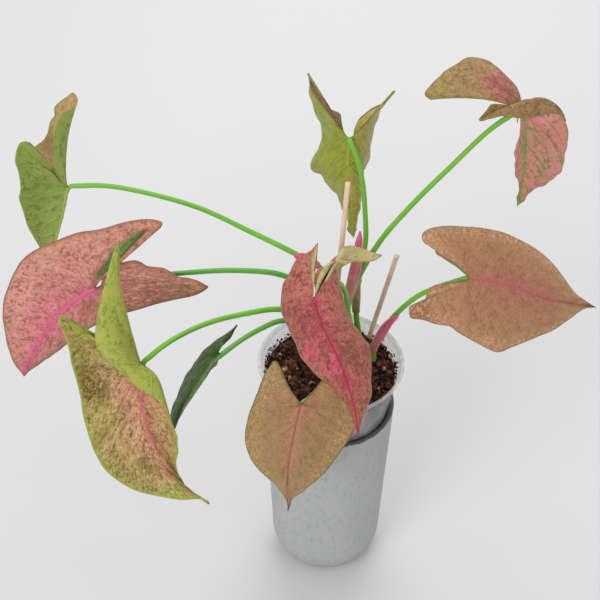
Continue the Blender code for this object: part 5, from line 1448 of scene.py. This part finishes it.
def length_property(name, description, default):
    return bpy.props.FloatProperty(name=name, description=description, default=default, min=0.0,
                                   unit="LENGTH", subtype="DISTANCE")


def tone_property(name, description, default):
    """A colour as it is seen on a screen, each part from 0 to 1."""
    return bpy.props.FloatVectorProperty(name=name, description=description, subtype="COLOR_GAMMA", size=3,
                                         min=0.0, max=1.0, default=[c / 255 for c in default])


class HolderSettings(bpy.types.PropertyGroup):
    """Sizes and colours of the vase, the cup and the mix."""

    stone: tone_property("Stone", "Middle tone of the vase", (176, 178, 177))
    stone_light: tone_property("Light stone", "Clouds and grain of the vase", (186, 187, 186))
    stone_dark: tone_property("Dark stone", "Pits and the foot of the vase", (132, 134, 135))
    cup_haze: bpy.props.FloatProperty(name="Cup haze", description="How milky the clear cup is",
                                      default=0.30, min=0.0, max=1.0, subtype="FACTOR")
    crumb_count: bpy.props.IntProperty(name="Crumbs", description="How many small crumbs lie on the mix", default=2300)
    chip_count: bpy.props.IntProperty(name="Chips", description="How many pale chips lie on the mix", default=26)
    fibre_count: bpy.props.IntProperty(name="Fibres", description="How many coir fibres lie on the mix", default=330)
    wall_crumb_count: bpy.props.IntProperty(name="Crumbs on wall", description="Crumbs stuck to the cup's wall",
                                            default=420)
    seed: bpy.props.IntProperty(name="Seed", description="Where the crumbs fall", default=11)


class LeafSettings(bpy.types.PropertyGroup):
    """Sizes and colours that all leaves share."""

    blade_thickness: length_property("Blade thickness", "Thickness of a blade between its veins", 0.0005)
    petiole: tone_property("Stalk", "Colour along a petiole", (114, 186, 46))
    # A darker copy of the stalk colour, used as painted shade on the two left petioles.
    petiole_in_shade: tone_property("Shaded stalk", "Colour along the two darker petioles", (96, 168, 58))
    sheath: tone_property("Sheath", "Colour of a fresh sheath", (230, 78, 136))


class StageSettings(bpy.types.PropertyGroup):
    """The camera, the light and the floor."""

    focal_length: bpy.props.FloatProperty(name="Focal length", description="Camera lens, in millimetres",
                                          default=83.46, min=1.0)
    pitch: bpy.props.FloatProperty(name="Pitch", description="How far the camera looks down",
                                   default=math.radians(42.0), subtype="ANGLE")
    roll: bpy.props.FloatProperty(name="Roll", description="How far the camera leans",
                                  default=math.radians(0.8), subtype="ANGLE")
    place: bpy.props.FloatVectorProperty(name="Camera place", description="Where the camera stands", size=3,
                                         default=(-0.02057335, -0.64228738, 0.81111401), subtype="TRANSLATION")
    floor: tone_property("Floor", "Colour of the floor", (221, 221, 222))
    sky: bpy.props.FloatProperty(name="Sky", description="Strength of the even light from all round", default=0.56)


# Operators


class PLANT_OT_vase(bpy.types.Operator):
    """Make the stone vase"""

    bl_idname = "plant.vase"
    bl_label = "Vase"

    def execute(self, context):
        make_vase(context.scene.plant_holder)
        return {"FINISHED"}


class PLANT_OT_cup(bpy.types.Operator):
    """Make the clear nursery cup"""

    bl_idname = "plant.cup"
    bl_label = "Cup"

    def execute(self, context):
        make_cup(context.scene.plant_holder)
        return {"FINISHED"}


class PLANT_OT_mix(bpy.types.Operator):
    """Make the potting mix with its crumbs, chips and fibres"""

    bl_idname = "plant.mix"
    bl_label = "Potting mix"

    def execute(self, context):
        paints = {
            "crumb": crumb_paint("coir_crumb", (26, 12, 11), (128, 72, 58), 2.6),
            "chip": crumb_paint("bark_chip", (126, 84, 66), (196, 158, 132), 3.0),
            "husk": crumb_paint("husk_piece", (150, 112, 84), (220, 192, 160), 2.2),
            "fibre": crumb_paint("coir_fibre", (66, 36, 28), (128, 84, 64), 6.0),
        }
        radius = make_mix_body(crumb_paint("coir_mix_skin", (20, 9, 9), (84, 44, 36), 2.6))
        make_crumbs(context.scene.plant_holder, radius, paints)
        return {"FINISHED"}


class PLANT_OT_stems(bpy.types.Operator):
    """Make the three stems and the furled new leaf"""

    bl_idname = "plant.stems"
    bl_label = "Stems and new leaf"

    def execute(self, context):
        for name, place in STEMS.items():
            make_stem(name, place)
        make_spear()
        return {"FINISHED"}


class PLANT_OT_stakes(bpy.types.Operator):
    """Make the two wooden stakes"""

    bl_idname = "plant.stakes"
    bl_label = "Stakes"

    def execute(self, context):
        paint = wood_paint("stake_wood", (252, 218, 196), (236, 192, 168))
        for name, (foot, top) in STAKES.items():
            make_stake(name, foot, top, paint)
        return {"FINISHED"}


class PLANT_OT_leaves(bpy.types.Operator):
    """Make the nine leaves, each with its petiole, and the sheaths that hug them"""

    bl_idname = "plant.leaves"
    bl_label = "Leaves"

    def execute(self, context):
        settings = context.scene.plant_leaves
        fresh = tuple(round(255 * c) for c in settings.petiole)
        shaded = tuple(round(255 * c) for c in settings.petiole_in_shade)
        pink = tuple(round(255 * c) for c in settings.sheath)
        light = stalk_paint("stalk_light", (160, 170, 96), fresh, (132, 190, 80))
        # The dark stalk paint is painted shade: the stalk colours darkened for the petioles of left_large and
        # left_narrow.
        dark = stalk_paint("stalk_shaded", (120, 150, 84), shaded, (98, 160, 70))
        sheath = sheath_paint("sheath_fresh", (204, 128, 122), pink, (248, 216, 216))
        dry = sheath_paint("sheath_dry", (136, 136, 70), (176, 146, 98), (196, 168, 124))
        normals = {}
        for seed, (name, leaf) in enumerate(LEAVES.items(), start=1):
            normals[name], along = make_blade(name, leaf, LOOKS[name], settings, seed)
            make_petiole(name, leaf, normals[name], along, dark if name in ("left_large", "left_narrow") else light)
        for name, row in SHEATHS.items():
            make_sheath(name, LEAVES[row[0]], normals[row[0]], row, dry if name == "old" else sheath)
        return {"FINISHED"}


class PLANT_OT_stage(bpy.types.Operator):
    """Make the floor, the lights and the camera"""

    bl_idname = "plant.stage"
    bl_label = "Stage"

    def execute(self, context):
        settings = context.scene.plant_stage
        scene = context.scene
        scene.view_settings.view_transform = "Standard"
        tone = tuple(round(255 * c) for c in settings.floor)
        corners = np.array([(-9000, -9000, 0), (9000, -9000, 0), (9000, 9000, 0), (-9000, 9000, 0)], float)
        floor = put_mesh("floor", corners, [[(0, 1, 2, 3)]], [plain_paint("floor_paint", tone, 0.7)])

        world = bpy.data.worlds.new("sky")
        world.use_nodes = True
        world.node_tree.nodes["Background"].inputs["Color"].default_value = (1.0, 1.0, 1.0, 1.0)
        world.node_tree.nodes["Background"].inputs["Strength"].default_value = settings.sky
        scene.world = world

        lamps = (
            ("key", (-0.9, -1.3, 1.1), (0.0, 0.0, 0.25), 0.9, 13.5),
            ("fill", (1.3, -0.9, 1.3), (0.0, 0.0, 0.16), 1.4, 3.0),
            ("back", (0.1, 0.9, 1.4), (0.1, 0.85, 0.0), 1.0, 11.0),
        )
        for name, place, target, size, power in lamps:
            lamp = bpy.data.lights.new(name, "AREA")
            lamp.energy, lamp.size = power, size
            holder = bpy.data.objects.new(name, lamp)
            scene.collection.objects.link(holder)
            out = unit(np.subtract(place, target))
            right = unit(np.cross((0.0, 0.0, 1.0), out))
            rows = np.eye(4)
            rows[:3] = np.stack([right, np.cross(out, right), out, place], axis=1)
            holder.matrix_world = Matrix(rows.tolist())

        camera = bpy.data.cameras.new("camera")
        camera.sensor_width, camera.lens = 36.0, settings.focal_length
        camera.clip_start = 0.01
        holder = bpy.data.objects.new("camera", camera)
        scene.collection.objects.link(holder)
        ahead = np.array([0.0, math.cos(settings.pitch), -math.sin(settings.pitch)])
        level = np.array([1.0, 0.0, 0.0])
        right = math.cos(settings.roll) * level + math.sin(settings.roll) * np.cross(level, ahead)
        rows = np.eye(4)
        rows[:3] = np.stack([right, np.cross(right, ahead), -ahead, settings.place], axis=1)
        holder.matrix_world = Matrix(rows.tolist())
        scene.camera = holder
        return {"FINISHED"}


class PLANT_PT_pieces(bpy.types.Panel):
    """The plant's pieces and their settings."""

    bl_idname = "PLANT_PT_pieces"
    bl_label = "Arrowhead plant"
    bl_space_type = "VIEW_3D"
    bl_region_type = "UI"
    bl_category = "Plant"

    def draw(self, context):
        for group, operators in PARTS:
            box = self.layout.box()
            settings = getattr(context.scene, group)
            for key in type(settings).__annotations__:
                box.prop(settings, key)
            for operator in operators:
                box.operator(operator.bl_idname)


PARTS = (
    ("plant_holder", (PLANT_OT_vase, PLANT_OT_cup, PLANT_OT_mix)),
    ("plant_leaves", (PLANT_OT_stems, PLANT_OT_stakes, PLANT_OT_leaves)),
    ("plant_stage", (PLANT_OT_stage,)),
)
SETTINGS = {"plant_holder": HolderSettings, "plant_leaves": LeafSettings, "plant_stage": StageSettings}
CLASSES = (*SETTINGS.values(), *(operator for _, operators in PARTS for operator in operators), PLANT_PT_pieces)


def register():
    for cls in CLASSES:
        bpy.utils.register_class(cls)
    for name, group in SETTINGS.items():
        setattr(bpy.types.Scene, name, bpy.props.PointerProperty(type=group))


def unregister():
    for name in SETTINGS:
        delattr(bpy.types.Scene, name)
    for cls in reversed(CLASSES):
        bpy.utils.unregister_class(cls)


def main():
    register()
    bpy.ops.plant.vase()
    bpy.ops.plant.cup()
    bpy.ops.plant.mix()
    bpy.ops.plant.stems()
    bpy.ops.plant.stakes()
    bpy.ops.plant.leaves()
    bpy.ops.plant.stage()


if __name__ == "__main__":
    main()
